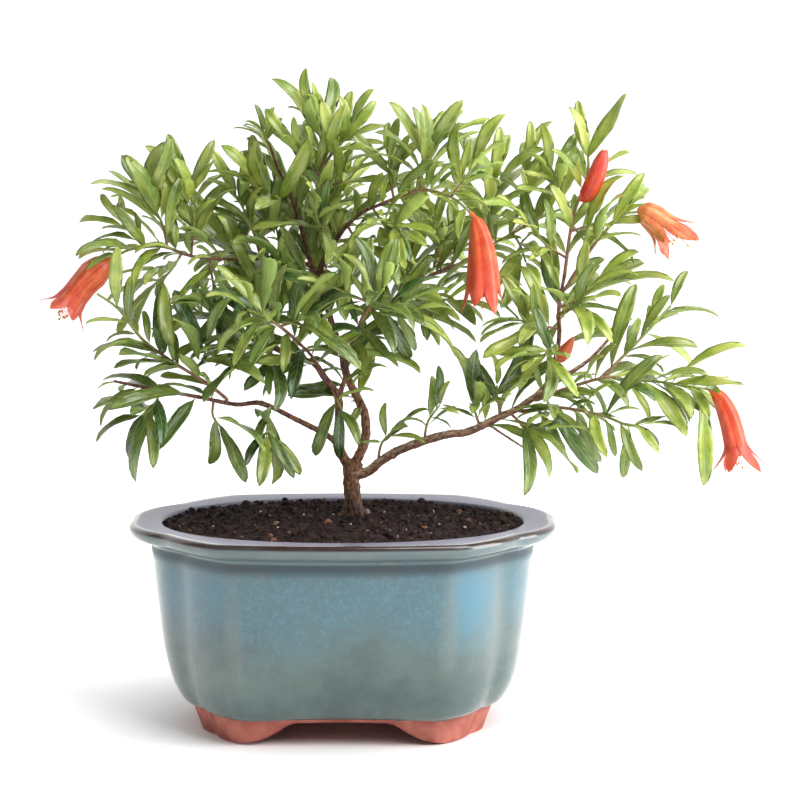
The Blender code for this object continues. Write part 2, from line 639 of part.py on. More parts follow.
class Surroundings:
    """What is already in place, as search trees, with the node that each belongs to."""

    def __init__(self):
        self.solids = []

    def add(self, node, points, faces, blade=False):
        points = [Vector(point) for point in points]
        centre = sum(points, Vector()) / len(points)
        reach = max((point - centre).length for point in points)
        self.solids.append((node, blade, centre, reach, BVHTree.FromPolygons(points, faces)))

    def add_mesh(self, node, mesh):
        points = [vertex.co / MM for vertex in mesh.vertices]
        self.add(node, points, [tuple(face.vertices) for face in mesh.polygons])

    def touches(self, points, faces, skip_node=None, only_blades_of=None):
        centre = sum(points, Vector()) / len(points)
        reach = max((point - centre).length for point in points)
        tree = None
        for node, blade, other_centre, other_reach, other in self.solids:
            if node == skip_node or (only_blades_of and not (blade and node == only_blades_of)):
                continue
            if (centre - other_centre).length > reach + other_reach:
                continue
            if tree is None:
                tree = BVHTree.FromPolygons(points, faces)
            if tree.overlap(other):
                return True
        return False


def mesh_data(mesh):
    return [vertex.co / MM for vertex in mesh.vertices], [tuple(f.vertices) for f in mesh.polygons]


def place_shoot(shoot, routes, around):
    """The route of a shoot; one given by its tip alone is bent clear of what is in place."""
    parent = routes[shoot.parent]
    same_node = parent.node != WOOD_NODE
    node = parent.node if same_node else shoot.name
    radii = LONG_RADII if len(shoot.points) > 1 else SIDE_RADII
    points = [Vector(point) for point in shoot.points]
    root, outward = shoot_root(parent, shoot.at, points[0], same_node)
    if len(points) > 1:
        marks = [0] + list(range(2, len(points) + 2))
        return Route(node, [root, root + outward * ROOT_STUB] + points, radii, marks)
    for lean in leans(root, points[0]):
        route = Route(node, curved_points(root, outward, points[0], lean), radii, [0, 3])
        wide = tube_mesh(route.points, [radius + GAP for radius in route.radii], 0)
        clash = around.touches(*mesh_data(wide), skip_node=node)
        bpy.data.meshes.remove(wide)
        if not clash:
            return route
    return route


# Leaves

def blade_skin(root, tip, up, width, arch, margin=0.0, start=0.0):
    """Points and triangles of a leaf: a folded, arched blade that narrows to its root and its tip."""
    chord = tip - root
    rise_way = (up - chord * (up.dot(chord) / chord.length_squared)).normalized()
    side = chord.normalized().cross(rise_way)
    rise = arch * chord.length
    points = []
    for station, share, keel in STATIONS:
        t = max(station, start)
        centre = root + chord * t + rise_way * (4 * rise * t * (1 - t))
        half = max(width / 2 * share, ROOT_HALF_WIDTH)
        edge = rise_way * (BLADE_FOLD * half + margin)
        across = side * (half + margin)
        points += [centre + across + edge, centre - rise_way * (keel + margin), centre - across + edge]
    points.append(tip + chord.normalized() * margin)
    triangles = [(2, 1, 0)]
    for low in (0, 3):
        high = low + 3
        triangles += [(low, low + 1, high + 1), (low, high + 1, high)]
        triangles += [(low + 1, low + 2, high + 1), (low + 2, high + 2, high + 1)]
        triangles += [(low + 2, low, high), (low + 2, high, high + 2)]
    triangles += [(6, 7, 9), (7, 8, 9), (8, 6, 9)]
    return points, triangles


class Leaves:
    """Leaves that have found a place, node by node."""

    def __init__(self, around):
        self.around = around
        self.meshes = {}

    def add(self, node, root, tip, up, width, arch):
        """Place a leaf unless it touches a neighbour; says whether it was placed."""
        wide = blade_skin(root, tip, up, width, arch, BLADE_CLEARANCE)
        if self.around.touches(*wide, skip_node=node):
            return False
        outer = blade_skin(root, tip, up, width, arch, BLADE_CLEARANCE / 2, TEST_START)
        if self.around.touches(*outer, only_blades_of=node):
            return False
        points, triangles = blade_skin(root, tip, up, width, arch)
        self.around.add(node, points, triangles, blade=True)
        self.meshes.setdefault(node, []).append(mesh_of("leaf", points, triangles))
        return True


def upper_side(direction, draw):
    """The way a blade faces: upwards, a little turned."""
    tilt = Vector((draw.uniform(-0.45, 0.45), draw.uniform(-0.55, 0.25), 1.0))
    if abs(direction.z) > 0.75:
        tilt += Vector((0.0, -0.9, 0.0))
    return tilt


def grow_notable(leaves, routes):
    """The hand placed leaves, which keep their places before all others."""
    for stem, at, tip in NOTABLE_LEAVES:
        draw = random.Random(f"{SEED} {stem} {tip}")
        route = routes[stem]
        root = route.at(at)[0]
        tip = Vector(tip)
        up = upper_side((tip - root).normalized(), draw)
        width = min((tip - root).length * BLADE_ASPECT, BLADE_WIDEST) * draw.uniform(0.85, 1.0)
        for turn in NOTABLE_TURNS:
            turned = Matrix.Rotation(math.radians(turn), 3, tip - root) @ up
            if leaves.add(route.node, root, tip, turned, width, NOTABLE_ARCH):
                break


def grow_leaves(shoot, route, leaves):
    """Opposite pairs, each turned a right angle from the last, and one leaf at the end."""
    draw = random.Random(f"{SEED} {shoot.name}")
    first_turn = draw.uniform(0, math.tau)
    bare = 0.3 if len(shoot.points) == 1 else 0.2
    places = []
    for pair in range(shoot.pairs):
        share = bare + (0.97 - bare) * (pair + 0.4) / shoot.pairs
        for half in (0, 1):
            turn = first_turn + pair * math.pi / 2 + half * math.pi + draw.uniform(-0.35, 0.35)
            places.append((share, turn, math.radians(66 - 28 * share + draw.uniform(-9, 9))))
    places.append((1.0, draw.uniform(0, math.tau), math.radians(draw.uniform(4, 14))))
    for share, turn, angle in places:
        point, direction, _ = route.along(share)
        length = LEAF_SIZE * shoot.leaf * (0.8 + 0.36 * math.sin(math.pi * (0.2 + 0.6 * share)))
        length *= draw.uniform(0.82, 1.12)
        lift = draw.uniform(-0.1, 0.3)
        roll = draw.uniform(0.0, 1.0)
        side = direction.orthogonal().normalized()
        for more_turn, more_angle, size in LEAF_TRIES:
            spin = Matrix.Rotation(turn + math.radians(more_turn), 3, direction)
            open_angle = angle + math.radians(more_angle)
            way = direction * math.cos(open_angle) + (spin @ side) * math.sin(open_angle)
            way = (way + Vector((0.0, 0.0, lift))).normalized()
            tip = point + way * (length * size)
            up = upper_side(way, random.Random(f"{SEED} {shoot.name} {turn} {roll}"))
            width = min(length * size * BLADE_ASPECT, BLADE_WIDEST)
            if leaves.add(route.node, point, tip, up, width, 0.1 - 0.06 * roll):
                break


# Flowers

def bloom_route(root, outward, tip):
    """Five points from the stalk to the mouth, leaving the stem straight on and then hanging over."""
    span = tip - root
    control = root + outward * (0.38 * span.length)
    shares = [i / 8 for i in range(9)]
    return [root * (1 - t) ** 2 + control * (2 * t * (1 - t)) + tip * t ** 2 for t in shares]


def cross_frame(points, share):
    """Centre and two directions across a route, at a share of its length."""
    place = share * (len(points) - 1)
    low = min(int(place), len(points) - 2)
    step = points[low + 1] - points[low]
    direction = step.normalized()
    across = direction.cross(Vector((0.0, 1.0, 0.0))).normalized()
    return points[low] + step * (place - low), across, direction.cross(across)


def bloom_mesh(bloom, points):
    """A waxy tube that opens in pointed lobes, with a cup inside; a bud stays closed."""
    is_bud = bloom.name.startswith("bud")
    wide = bloom.mouth
    if is_bud:
        levels = [
            (0.0, 0.0, 1.0, 1.0), (0.12, 0.12, 0.62 * wide, 0.62 * wide),
            (0.4, 0.4, wide, wide * 0.94), (0.72, 0.72, 0.86 * wide, 0.74 * wide),
            (0.93, 0.88, 0.42 * wide, 0.34 * wide), (1.0, 0.93, 0.12 * wide, 0.1 * wide),
        ]
    else:
        levels = [
            (0.0, 0.0, 1.0, 1.0), (0.1, 0.1, 0.36 * wide, 0.36 * wide),
            (0.26, 0.26, 0.66 * wide, 0.64 * wide), (0.5, 0.5, 0.72 * wide, 0.68 * wide),
            (0.76, 0.7, 0.86 * wide, 0.7 * wide), (1.0, 0.77, wide, 0.64 * wide),
            (0.78, 0.7, 0.66 * wide, 0.54 * wide), (0.56, 0.56, 0.36 * wide, 0.34 * wide),
        ]
    rings = []
    count = bloom.lobes * 2
    for lobe_share, valley_share, lobe_radius, valley_radius in levels:
        ring = []
        for i in range(count):
            share, radius = (lobe_share, lobe_radius) if i % 2 == 0 else (valley_share, valley_radius)
            centre, across, away = cross_frame(points, share)
            turn = math.tau * i / count
            ring.append(centre + (across * math.cos(turn) + away * math.sin(turn)) * radius)
        rings.append(ring)
    return loft(bloom.name, rings)


def make_blooms(routes, around, parts, material):
    for bloom in BLOOMS:
        parent = routes[bloom.parent]
        tip = Vector(bloom.tip)
        root, outward = shoot_root(parent, bloom.at, tip, False)
        mesh = bloom_mesh(bloom, bloom_route(root, outward, tip))
        smooth_shading(mesh, 50)
        add_object(bloom.name, mesh, parts, material)
        around.add_mesh(bloom.name, mesh)


# The whole

def centre_on_box(parts, root):
    """Move the root so that the origin is the bottom centre of the object's box."""
    corners = []
    for obj in parts.objects:
        mesh = evaluated_mesh(obj)
        corners += [obj.matrix_world @ vertex.co for vertex in mesh.vertices]
        bpy.data.meshes.remove(mesh)
    for axis in (0, 1):
        values = [corner[axis] for corner in corners]
        root.location[axis] = -(min(values) + max(values)) / 2
    root.location[2] = -min(corner.z for corner in corners)


def build():
    remove_everything()
    scene_collection = bpy.context.scene.collection
    parts = new_collection("pomegranate_bonsai", scene_collection)
    cutters = new_collection("cutters", scene_collection)
    glaze = new_material("pot_glaze", (0.24, 0.40, 0.42), 0.25)
    earth = new_material("soil", (0.035, 0.022, 0.018), 0.95)
    mesh_plastic = new_material("screen_plastic", (0.03, 0.03, 0.03), 0.6)
    bark = new_material("bark", (0.23, 0.14, 0.09), 0.8)
    foliage = new_material("leaf", (0.13, 0.27, 0.05), 0.45)
    petals = new_material("petal", (0.80, 0.10, 0.03), 0.4)

    pot = make_pot(parts, cutters, glaze)
    make_screens(parts, mesh_plastic)
    soil = make_soil(parts, cutters, earth)
    routes = wood_routes()
    wood = make_wood(routes, parts, bark)

    around = Surroundings()
    around.add_mesh("pot", evaluated_mesh(pot))
    around.add_mesh("soil", evaluated_mesh(soil))
    around.add_mesh(WOOD_NODE, wood.data)
    for shoot in SHOOTS:
        if len(shoot.points) > 1:
            routes[shoot.name] = place_shoot(shoot, routes, around)
    make_blooms(routes, around, parts, petals)

    stems = {}
    for shoot in SHOOTS:
        if len(shoot.points) == 1:
            routes[shoot.name] = place_shoot(shoot, routes, around)
        route = routes[shoot.name]
        mesh = tube_mesh(route.points, route.radii, 0)
        around.add_mesh(route.node, mesh)
        stems.setdefault(route.node, []).append(mesh)

    leaves = Leaves(around)
    grow_notable(leaves, routes)
    for shoot in SHOOTS:
        grow_leaves(shoot, routes[shoot.name], leaves)
    for node, meshes in stems.items():
        join_all(node, meshes + leaves.meshes.get(node, []), parts, foliage)

    root = bpy.data.objects.new("bonsai_root", None)
    scene_collection.objects.link(root)
    for obj in list(parts.objects) + list(cutters.objects):
        obj.parent = root
    centre_on_box(parts, root)


build()
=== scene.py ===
import json
import math
import random

import bmesh
import bpy
import numpy as np
from mathutils import Matrix, Vector, noise
from mathutils.bvhtree import BVHTree
from mathutils.kdtree import KDTree

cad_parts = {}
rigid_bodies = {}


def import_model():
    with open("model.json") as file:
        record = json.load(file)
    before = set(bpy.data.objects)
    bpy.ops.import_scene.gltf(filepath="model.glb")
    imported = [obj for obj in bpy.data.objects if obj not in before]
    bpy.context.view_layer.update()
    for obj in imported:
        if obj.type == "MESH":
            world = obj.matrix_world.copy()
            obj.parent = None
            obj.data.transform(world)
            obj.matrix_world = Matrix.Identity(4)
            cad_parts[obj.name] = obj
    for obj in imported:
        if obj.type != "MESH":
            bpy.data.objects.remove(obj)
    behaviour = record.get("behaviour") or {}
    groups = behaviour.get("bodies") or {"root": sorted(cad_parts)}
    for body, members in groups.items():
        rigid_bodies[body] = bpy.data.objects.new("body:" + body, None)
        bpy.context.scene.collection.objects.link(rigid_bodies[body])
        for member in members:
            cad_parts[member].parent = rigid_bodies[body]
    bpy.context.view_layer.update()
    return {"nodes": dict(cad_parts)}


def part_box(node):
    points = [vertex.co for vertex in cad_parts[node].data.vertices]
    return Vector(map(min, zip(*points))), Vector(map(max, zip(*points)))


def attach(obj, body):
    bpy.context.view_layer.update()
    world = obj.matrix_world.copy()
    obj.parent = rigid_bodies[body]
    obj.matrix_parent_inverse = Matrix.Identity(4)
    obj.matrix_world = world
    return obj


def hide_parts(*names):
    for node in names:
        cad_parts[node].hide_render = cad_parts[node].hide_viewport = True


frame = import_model()
mm = 0.001

# The layout is in millimetres from the pot's middle, as the solids were drawn: x right, y away, z up.
potBase = -3.0
potLow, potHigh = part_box("pot")
layoutShift = Vector(((potLow.x + potHigh.x) / 2, (potLow.y + potHigh.y) / 2, potLow.z - potBase * mm))


def inFrame(point):
    return Vector(point) * mm + layoutShift


def inLayout(point):
    return (point - layoutShift) / mm


# Node trees

class Wire:
    # one output socket; arithmetic on it adds Math nodes
    def __init__(self, sheet, node, output=0):
        self.sheet = sheet
        self.node = node
        self.out = node.outputs[output]

    def other(self, output):
        return Wire(self.sheet, self.node, output)

    def maths(self, operation, first, second=0.0):
        return self.sheet.add("ShaderNodeMath", {"operation": operation}, {0: first, 1: second})

    def __add__(self, value):
        return self.maths("ADD", self, value)

    def __radd__(self, value):
        return self.maths("ADD", value, self)

    def __sub__(self, value):
        return self.maths("SUBTRACT", self, value)

    def __rsub__(self, value):
        return self.maths("SUBTRACT", value, self)

    def __mul__(self, value):
        return self.maths("MULTIPLY", self, value)

    def __rmul__(self, value):
        return self.maths("MULTIPLY", value, self)

    def __pow__(self, value):
        return self.maths("POWER", self, value)

    def size(self):
        return self.maths("ABSOLUTE", self)

    def wave(self):
        return self.maths("SINE", self)

    def atMost(self, value):
        return self.maths("MINIMUM", self, value)

    def ramp(self, low, high, lowest=0.0, highest=1.0):
        # a smooth step from lowest to highest while this runs from low to high
        settings = {"interpolation_type": "SMOOTHSTEP"}
        values = {"Value": self, "From Min": low, "From Max": high, "To Min": lowest, "To Max": highest}
        return self.sheet.add("ShaderNodeMapRange", settings, values)


class Sheet:
    # a node tree that is filled by calls of add
    def __init__(self, tree):
        self.tree = tree

    def add(self, kind, settings=None, values=None, output=0):
        node = self.tree.nodes.new(kind)
        for name, value in (settings or {}).items():
            setattr(node, name, value)
        for name, value in (values or {}).items():
            self.feed(node.inputs[name], value)
        return Wire(self, node, output)

    def feed(self, socket, value):
        if isinstance(value, Wire):
            self.tree.links.new(value.out, socket)
        else:
            socket.default_value = value


class Finish(Sheet):
    # a material round one Principled shader, whose plain settings are set on its sockets
    def __init__(self, name, **plain):
        self.material = bpy.data.materials.new(name)
        self.material.use_nodes = True
        super().__init__(self.material.node_tree)
        self.shader = self.tree.nodes["Principled BSDF"]
        for socket, value in plain.items():
            self.shader.inputs[socket.replace("_", " ")].default_value = value

    def spot(self, scale=1000.0):
        # object coordinates, in millimetres
        here = self.add("ShaderNodeTexCoord", None, None, "Object")
        return self.add("ShaderNodeVectorMath", {"operation": "SCALE"}, {0: here, "Scale": scale})

    def noise(self, at, scale, detail=3.0, roughness=0.55, stretch=None):
        if stretch:
            at = self.add("ShaderNodeVectorMath", {"operation": "MULTIPLY"}, {0: at, 1: stretch})
        values = {"Vector": at, "Scale": scale, "Detail": detail, "Roughness": roughness}
        return self.add("ShaderNodeTexNoise", None, values)

    def named(self, attribute, output="Fac"):
        return self.add("ShaderNodeAttribute", {"attribute_name": attribute}, None, output)

    def axes(self, at):
        split = self.add("ShaderNodeSeparateXYZ", None, {0: at})
        return split, split.other(1), split.other(2)

    def blend(self, share, first, second, how="MIX"):
        settings = {"data_type": "RGBA", "blend_type": how}
        return self.add("ShaderNodeMix", settings, {0: share, 6: first, 7: second}, 2)

    def set(self, **links):
        for socket, value in links.items():
            self.feed(self.shader.inputs[socket.replace("_", " ")], value)

    def bump(self, height, strength, distance):
        values = {"Height": height, "Strength": strength, "Distance": distance}
        self.set(Normal=self.add("ShaderNodeBump", None, values))


def colour(red, green, blue):
    # from a screen's 0 to 255 to light, by the sRGB curve
    return tuple(((c / 255 + 0.055) / 1.055) ** 2.4 for c in (red, green, blue)) + (1.0,)


class Growth(Sheet):
    # a Geometry Nodes tree with named inputs
    def __init__(self, name):
        super().__init__(bpy.data.node_groups.new(name, "GeometryNodeTree"))
        self.identifiers = {}
        self.tree.interface.new_socket("Geometry", in_out="INPUT", socket_type="NodeSocketGeometry")
        self.tree.interface.new_socket("Geometry", in_out="OUTPUT", socket_type="NodeSocketGeometry")
        self.entry = self.tree.nodes.new("NodeGroupInput")
        self.exit = self.tree.nodes.new("NodeGroupOutput")

    def input(self, name, kind="Float"):
        socket = self.tree.interface.new_socket(name, in_out="INPUT", socket_type="NodeSocket" + kind)
        self.identifiers[name] = socket.identifier
        return Wire(self, self.entry, name)

    def geometry(self):
        return Wire(self, self.entry, "Geometry")

    def attribute(self, name, kind="FLOAT"):
        return self.add("GeometryNodeInputNamedAttribute", {"data_type": kind}, {"Name": name})

    def finish(self, wire):
        self.feed(self.exit.inputs[0], wire)

    def apply(self, carrier, **values):
        modifier = carrier.modifiers.new(self.tree.name, "NODES")
        modifier.node_group = self.tree
        for name, value in values.items():
            modifier[self.identifiers[name]] = value


def tubesAlong(grow, lines, sides):
    # capped tubes along the lines, as thick as their points say
    thickness = grow.attribute("thickness")
    lines = grow.add("GeometryNodeSetCurveRadius", None, {"Curve": lines, "Radius": thickness})
    ring = grow.add("GeometryNodeCurvePrimitiveCircle", None, {"Resolution": sides, "Radius": 1.0})
    values = {"Curve": lines, "Profile Curve": ring, "Fill Caps": True}
    tubes = grow.add("GeometryNodeCurveToMesh", None, values)
    if "Scale" in tubes.node.inputs:
        grow.feed(tubes.node.inputs["Scale"], thickness)
    return tubes


def carrierOf(name, mesh):
    carrier = bpy.data.objects.new(name, mesh)
    bpy.context.scene.collection.objects.link(carrier)
    return carrier


def settled(carrier):
    # the plain mesh that a carrier's modifiers make, with the carrier gone
    graph = bpy.context.evaluated_depsgraph_get()
    graph.update()
    mesh = bpy.data.meshes.new_from_object(carrier.evaluated_get(graph), depsgraph=graph)
    bpy.data.objects.remove(carrier)
    return mesh


def dropCollection(shapes):
    for shape in list(shapes.objects):
        bpy.data.objects.remove(shape)
    bpy.data.collections.remove(shapes)


def mark(mesh, name, values, kind="FLOAT", domain="POINT"):
    # a named value on each point or face
    layer = mesh.attributes.new(name, kind, domain)
    if kind == "FLOAT_VECTOR":
        layer.data.foreach_set("vector", [number for value in values for number in value])
    else:
        layer.data.foreach_set("value", values)


def addPiece(name, mesh, replaced=(), finish=None):
    piece = bpy.data.objects.new(name, mesh)
    bpy.context.scene.collection.objects.link(piece)
    if finish:
        mesh.materials.clear()
        mesh.materials.append(finish)
    if replaced:
        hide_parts(*replaced)
    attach(piece, "root")


def softShade(mesh, degrees):
    mesh.shade_smooth()
    mesh.set_sharp_from_angle(angle=math.radians(degrees))


def stripFaces(rings, count):
    # the faces between rings of points that follow one another
    faces = []
    for low in range(0, (rings - 1) * count, count):
        for i in range(count):
            j = (i + 1) % count
            faces.append((low + i, low + j, low + count + j, low + count + i))
    return faces


def treeOf(points):
    tree = KDTree(len(points))
    for i, point in enumerate(points):
        tree.insert(point, i)
    tree.balance()
    return tree


def valueOnCurve(stops, at):
    # straight between stops of (place, value)
    for (low, first), (high, last) in zip(stops, stops[1:]):
        if at <= high:
            share = (at - low) / (high - low)
            return first + (last - first) * min(max(share, 0.0), 1.0)
    return stops[-1][1]


def eased(stops, at):
    # like valueOnCurve, with soft turns at the stops
    for (low, first), (high, last) in zip(stops, stops[1:]):
        if at <= high:
            share = min(max((at - low) / (high - low), 0.0), 1.0)
            return first + (last - first) * share * share * (3 - 2 * share)
    return stops[-1][1]


# Pot

potSizes = {
    "halfLength": 101.5, "halfDepth": 78.0, "depthTaper": 0.72, "cornerBlur": 1, "glazeEdge": 9.5,
    "footHalf": 66.0, "footWall": 8.5, "footRound": 0.9, "footCorner": 0.13, "recessTop": 8.0,
    "frontFrom": 25, "endFrom": 40, "floorTop": 17.0, "insideDepthRatio": 0.73, "insideRoundness": 2.1,
    "drainRadius": 7.0, "drainSpacing": 76.0, "drainMiddle": 12.5, "drainDepth": 14,
    "foldWidth": 7.0, "wallTop": 86, "lipFrom": 92.9, "lipLine": 2.6, "ledgeFrom": 93.0, "ledgeInset": 4.0,
}
# a quarter of the rim's plan as arcs: start, end, rise over the chord, steps
planArcs = [
    ((101.5, 0.0), (83.2, 44.6), 7.0, 14),
    ((83.2, 44.6), (57.0, 73.2), 2.2, 12),
    ((57.0, 73.2), (0.0, 78.0), 1.2, 16),
]
# the wall from the clay foot to the ledge: height, half length, share by which the corners stand out
wallStops = [
    (9.5, 70.5, 0.12), (10.6, 73.4, 0.11), (12.4, 75.6, 0.10), (16.0, 78.4, 0.08), (20.0, 80.5, 0.07),
    (24.0, 82.0, 0.06), (30.0, 83.8, 0.05), (36.0, 85.2, 0.04), (46.0, 86.8, 0.03), (58.0, 88.2, 0.02),
    (70.0, 89.6, 0.01), (80.0, 90.6, 0.004), (85.0, 91.2, 0.0), (86.6, 92.4, 0.0), (87.4, 95.2, 0.0),
    (88.4, 98.4, 0.0), (89.8, 100.5, 0.0), (91.6, 101.4, 0.0), (92.6, 101.5, 0.0), (93.5, 101.3, 0.0),
    (94.4, 100.7, 0.0), (94.9, 99.7, 0.0), (95.0, 98.4, 0.0), (94.9, 97.2, 0.0), (94.8, 95.5, 0.0),
    (94.6, 92.5, 0.0),
]
# the arches between the feet: distance from the middle, rise of the ground line
frontArch = [(22.0, 10.2), (28.0, 8.4), (33.0, 5.2), (40.0, 2.2), (47.0, 0.6), (49.5, 0.0)]
endArch = [(5.0, 6.6), (8.0, 4.6), (12.5, 2.2), (16.0, 0.6), (18.0, 0.0)]
# patches of thick blue glaze: middle, reach, strength
glazePools = [
    ((68, -60, 66), 24, 0.85), ((-80, -44, 66), 18, 0.6), ((-60, -64, 70), 15, 0.5), ((88, -30, 62), 16, 0.4),
    ((-70, 59, 66), 21, 0.7), ((74, 54, 70), 18, 0.6),
]
# the inside: height and half length, of the wall and of the ledge's inner edge
insideStops = [(17.0, 66.0), (25.0, 73.5), (58.0, 81.5), (96.0, 87.0)]
ledgeStops = [(94.5, 88.4), (94.2, 87.2), (93.2, 86.6)]


def planPoints():
    quarter = []
    for start, end, rise, steps in planArcs:
        first = Vector(start)
        chord = Vector(end) - first
        outward = Vector((chord.y, -chord.x)).normalized()
        for i in range(steps):
            t = i / steps
            quarter.append(first + chord * t + outward * (4 * rise * t * (1 - t)))
    half = quarter + [Vector((0.0, potSizes["halfDepth"]))]
    half += [Vector((-p.x, p.y)) for p in reversed(quarter[1:])]
    plan = half + [-p for p in half]
    for _ in range(potSizes["cornerBlur"]):
        plan = [(plan[i - 1] + plan[i] * 2 + plan[(i + 1) % len(plan)]) / 4 for i in range(len(plan))]
    return plan


def planAt(p, halfLength, corner):
    # a point of the rim's plan, drawn in to a ring of another size, with its corners pushed out
    halfDepth = potSizes["halfDepth"] - potSizes["depthTaper"] * (potSizes["halfLength"] - halfLength)
    across = p.x / potSizes["halfLength"]
    away = p.y / potSizes["halfDepth"]
    push = 1 + corner * 4 * across ** 2 * away ** 2
    return across * push * halfLength, away * push * halfDepth


def insideAt(p, halfLength):
    # where the ray from the middle through p meets the soil space's wall
    power = potSizes["insideRoundness"]
    away = Vector((p.x, p.y)).normalized()
    reach = abs(away.x / halfLength) ** power
    reach += abs(away.y / (halfLength * potSizes["insideDepthRatio"])) ** power
    return tuple(away * reach ** (-1 / power))


def archRise(x, y):
    front = eased(frontArch, abs(x)) if abs(y) > potSizes["frontFrom"] else 0.0
    end = eased(endArch, abs(y)) if abs(x) > potSizes["endFrom"] else 0.0
    return max(front, end)


def potRings():
    plan = planPoints()
    foot = potSizes["footRound"]
    rings = []
    edge = potSizes["glazeEdge"]
    corner = potSizes["footCorner"]
    outer = potSizes["footHalf"]
    inner = outer - potSizes["footWall"]

    def footRing(halfLength, lift, share):
        # share 0 follows the arched ground line, share 1 the level glaze edge
        ring = []
        for p in plan:
            x, y = planAt(p, halfLength, corner)
            low = potBase + archRise(*planAt(p, outer, corner)) + lift
            ring.append((x, y, low + (edge - low) * share))
        return ring

    # the recess under the floor
    ceiling = potSizes["recessTop"]
    for halfLength, height in (
            (inner * 0.02, ceiling), (inner * 0.3, ceiling), (inner * 0.6, ceiling),
            (inner - 1.0, ceiling), (inner, ceiling - 0.4)):
        rings.append([(*planAt(p, halfLength, corner), height) for p in plan])
    # the feet, from their inner edge round the ground line to the glaze
    for halfLength, lift, share in (
            (inner, foot, 0.0), (inner + foot, 0.0, 0.0), (outer - foot, 0.0, 0.0),
            (outer - 0.2, 0.25, 0.0), (outer, foot, 0.0), (outer + 1.4, foot, 0.35),
            (outer + 2.8, foot, 0.7), (outer + 3.72, foot, 0.93)):
        rings.append(footRing(halfLength, lift, share))
    for height, halfLength, bulge in wallStops:
        rings.append([(*planAt(p, halfLength, bulge), height) for p in plan])
    # the inside, down to the floor
    wallHeights = (88.0, 75.0, 58.0, 40.0, 25.0)
    inside = ledgeStops + [(height, valueOnCurve(insideStops, height)) for height in wallHeights]
    inside += [(potSizes["floorTop"], insideStops[0][1] * share) for share in (1.0, 0.7, 0.35, 0.02)]
    for height, halfLength in inside:
        rings.append([(*insideAt(p, halfLength), height) for p in plan])
    return rings


def loftRings(name, rings):
    # a closed body from rings of layout points, with a face on the first and the last
    count = len(rings[0])
    points = [inFrame(p) for ring in rings for p in ring]
    faces = stripFaces(len(rings), count)
    last = len(points) - count
    faces.append(tuple(reversed(range(count))))
    faces.append(tuple(range(last, last + count)))
    mesh = bpy.data.meshes.new(name)
    mesh.from_pydata(points, [], faces)
    mesh.update()
    return mesh


def boreDrains(carrier):
    for side in (-1, 1):
        mesh = bpy.data.meshes.new("drainBore")
        shape = bmesh.new()
        centre = inFrame((side * potSizes["drainSpacing"] / 2, 0.0, potSizes["drainMiddle"]))
        radius = potSizes["drainRadius"] * mm
        bmesh.ops.create_cone(
            shape, cap_ends=True, segments=40, radius1=radius, radius2=radius,
            depth=potSizes["drainDepth"] * mm, matrix=Matrix.Translation(centre))
        shape.to_mesh(mesh)
        shape.free()
        bore = carrierOf("drainBore", mesh)
        cut = carrier.modifiers.new("drain", "BOOLEAN")
        cut.operation = "DIFFERENCE"
        cut.solver = "EXACT"
        cut.object = bore
        cutMesh = settled(carrier)
        bpy.data.objects.remove(bore)
        carrier = carrierOf("potBody", cutMesh)
    return carrier


# tints of the glaze and the bare clay; the dark one under the lip is painted shade
glazeTints = {
    "body": (colour(64, 86, 85), colour(80, 102, 97)), "band": colour(56, 100, 112),
    "mottle": colour(68, 126, 148), "speck": colour(98, 126, 124), "pool": colour(52, 116, 140),
    "fold": colour(122, 130, 122), "fine": colour(72, 92, 92), "paintedUnderLipShade": colour(36, 48, 56),
    "lip": (colour(78, 98, 102), colour(104, 112, 108)), "lipLine": colour(58, 34, 32),
    "ledge": (colour(104, 101, 130), colour(130, 126, 152)),
    "clay": (colour(160, 86, 73), colour(188, 112, 95)), "clayPits": colour(128, 78, 70),
}
# where a glaze and the painted shade under the lip start and are full, in millimetres above the ground
glazeHeights = {
    "clayEnd": (12.2, 12.7), "bandLow": (40.0, 70.0), "bandHigh": (82.0, 97.0),
    "paintedUnderLipShade": (80.5, 86.0), "paintedUnderLipShadeEnd": (87.5, 89.0), "lip": (87.5, 90.0),
}


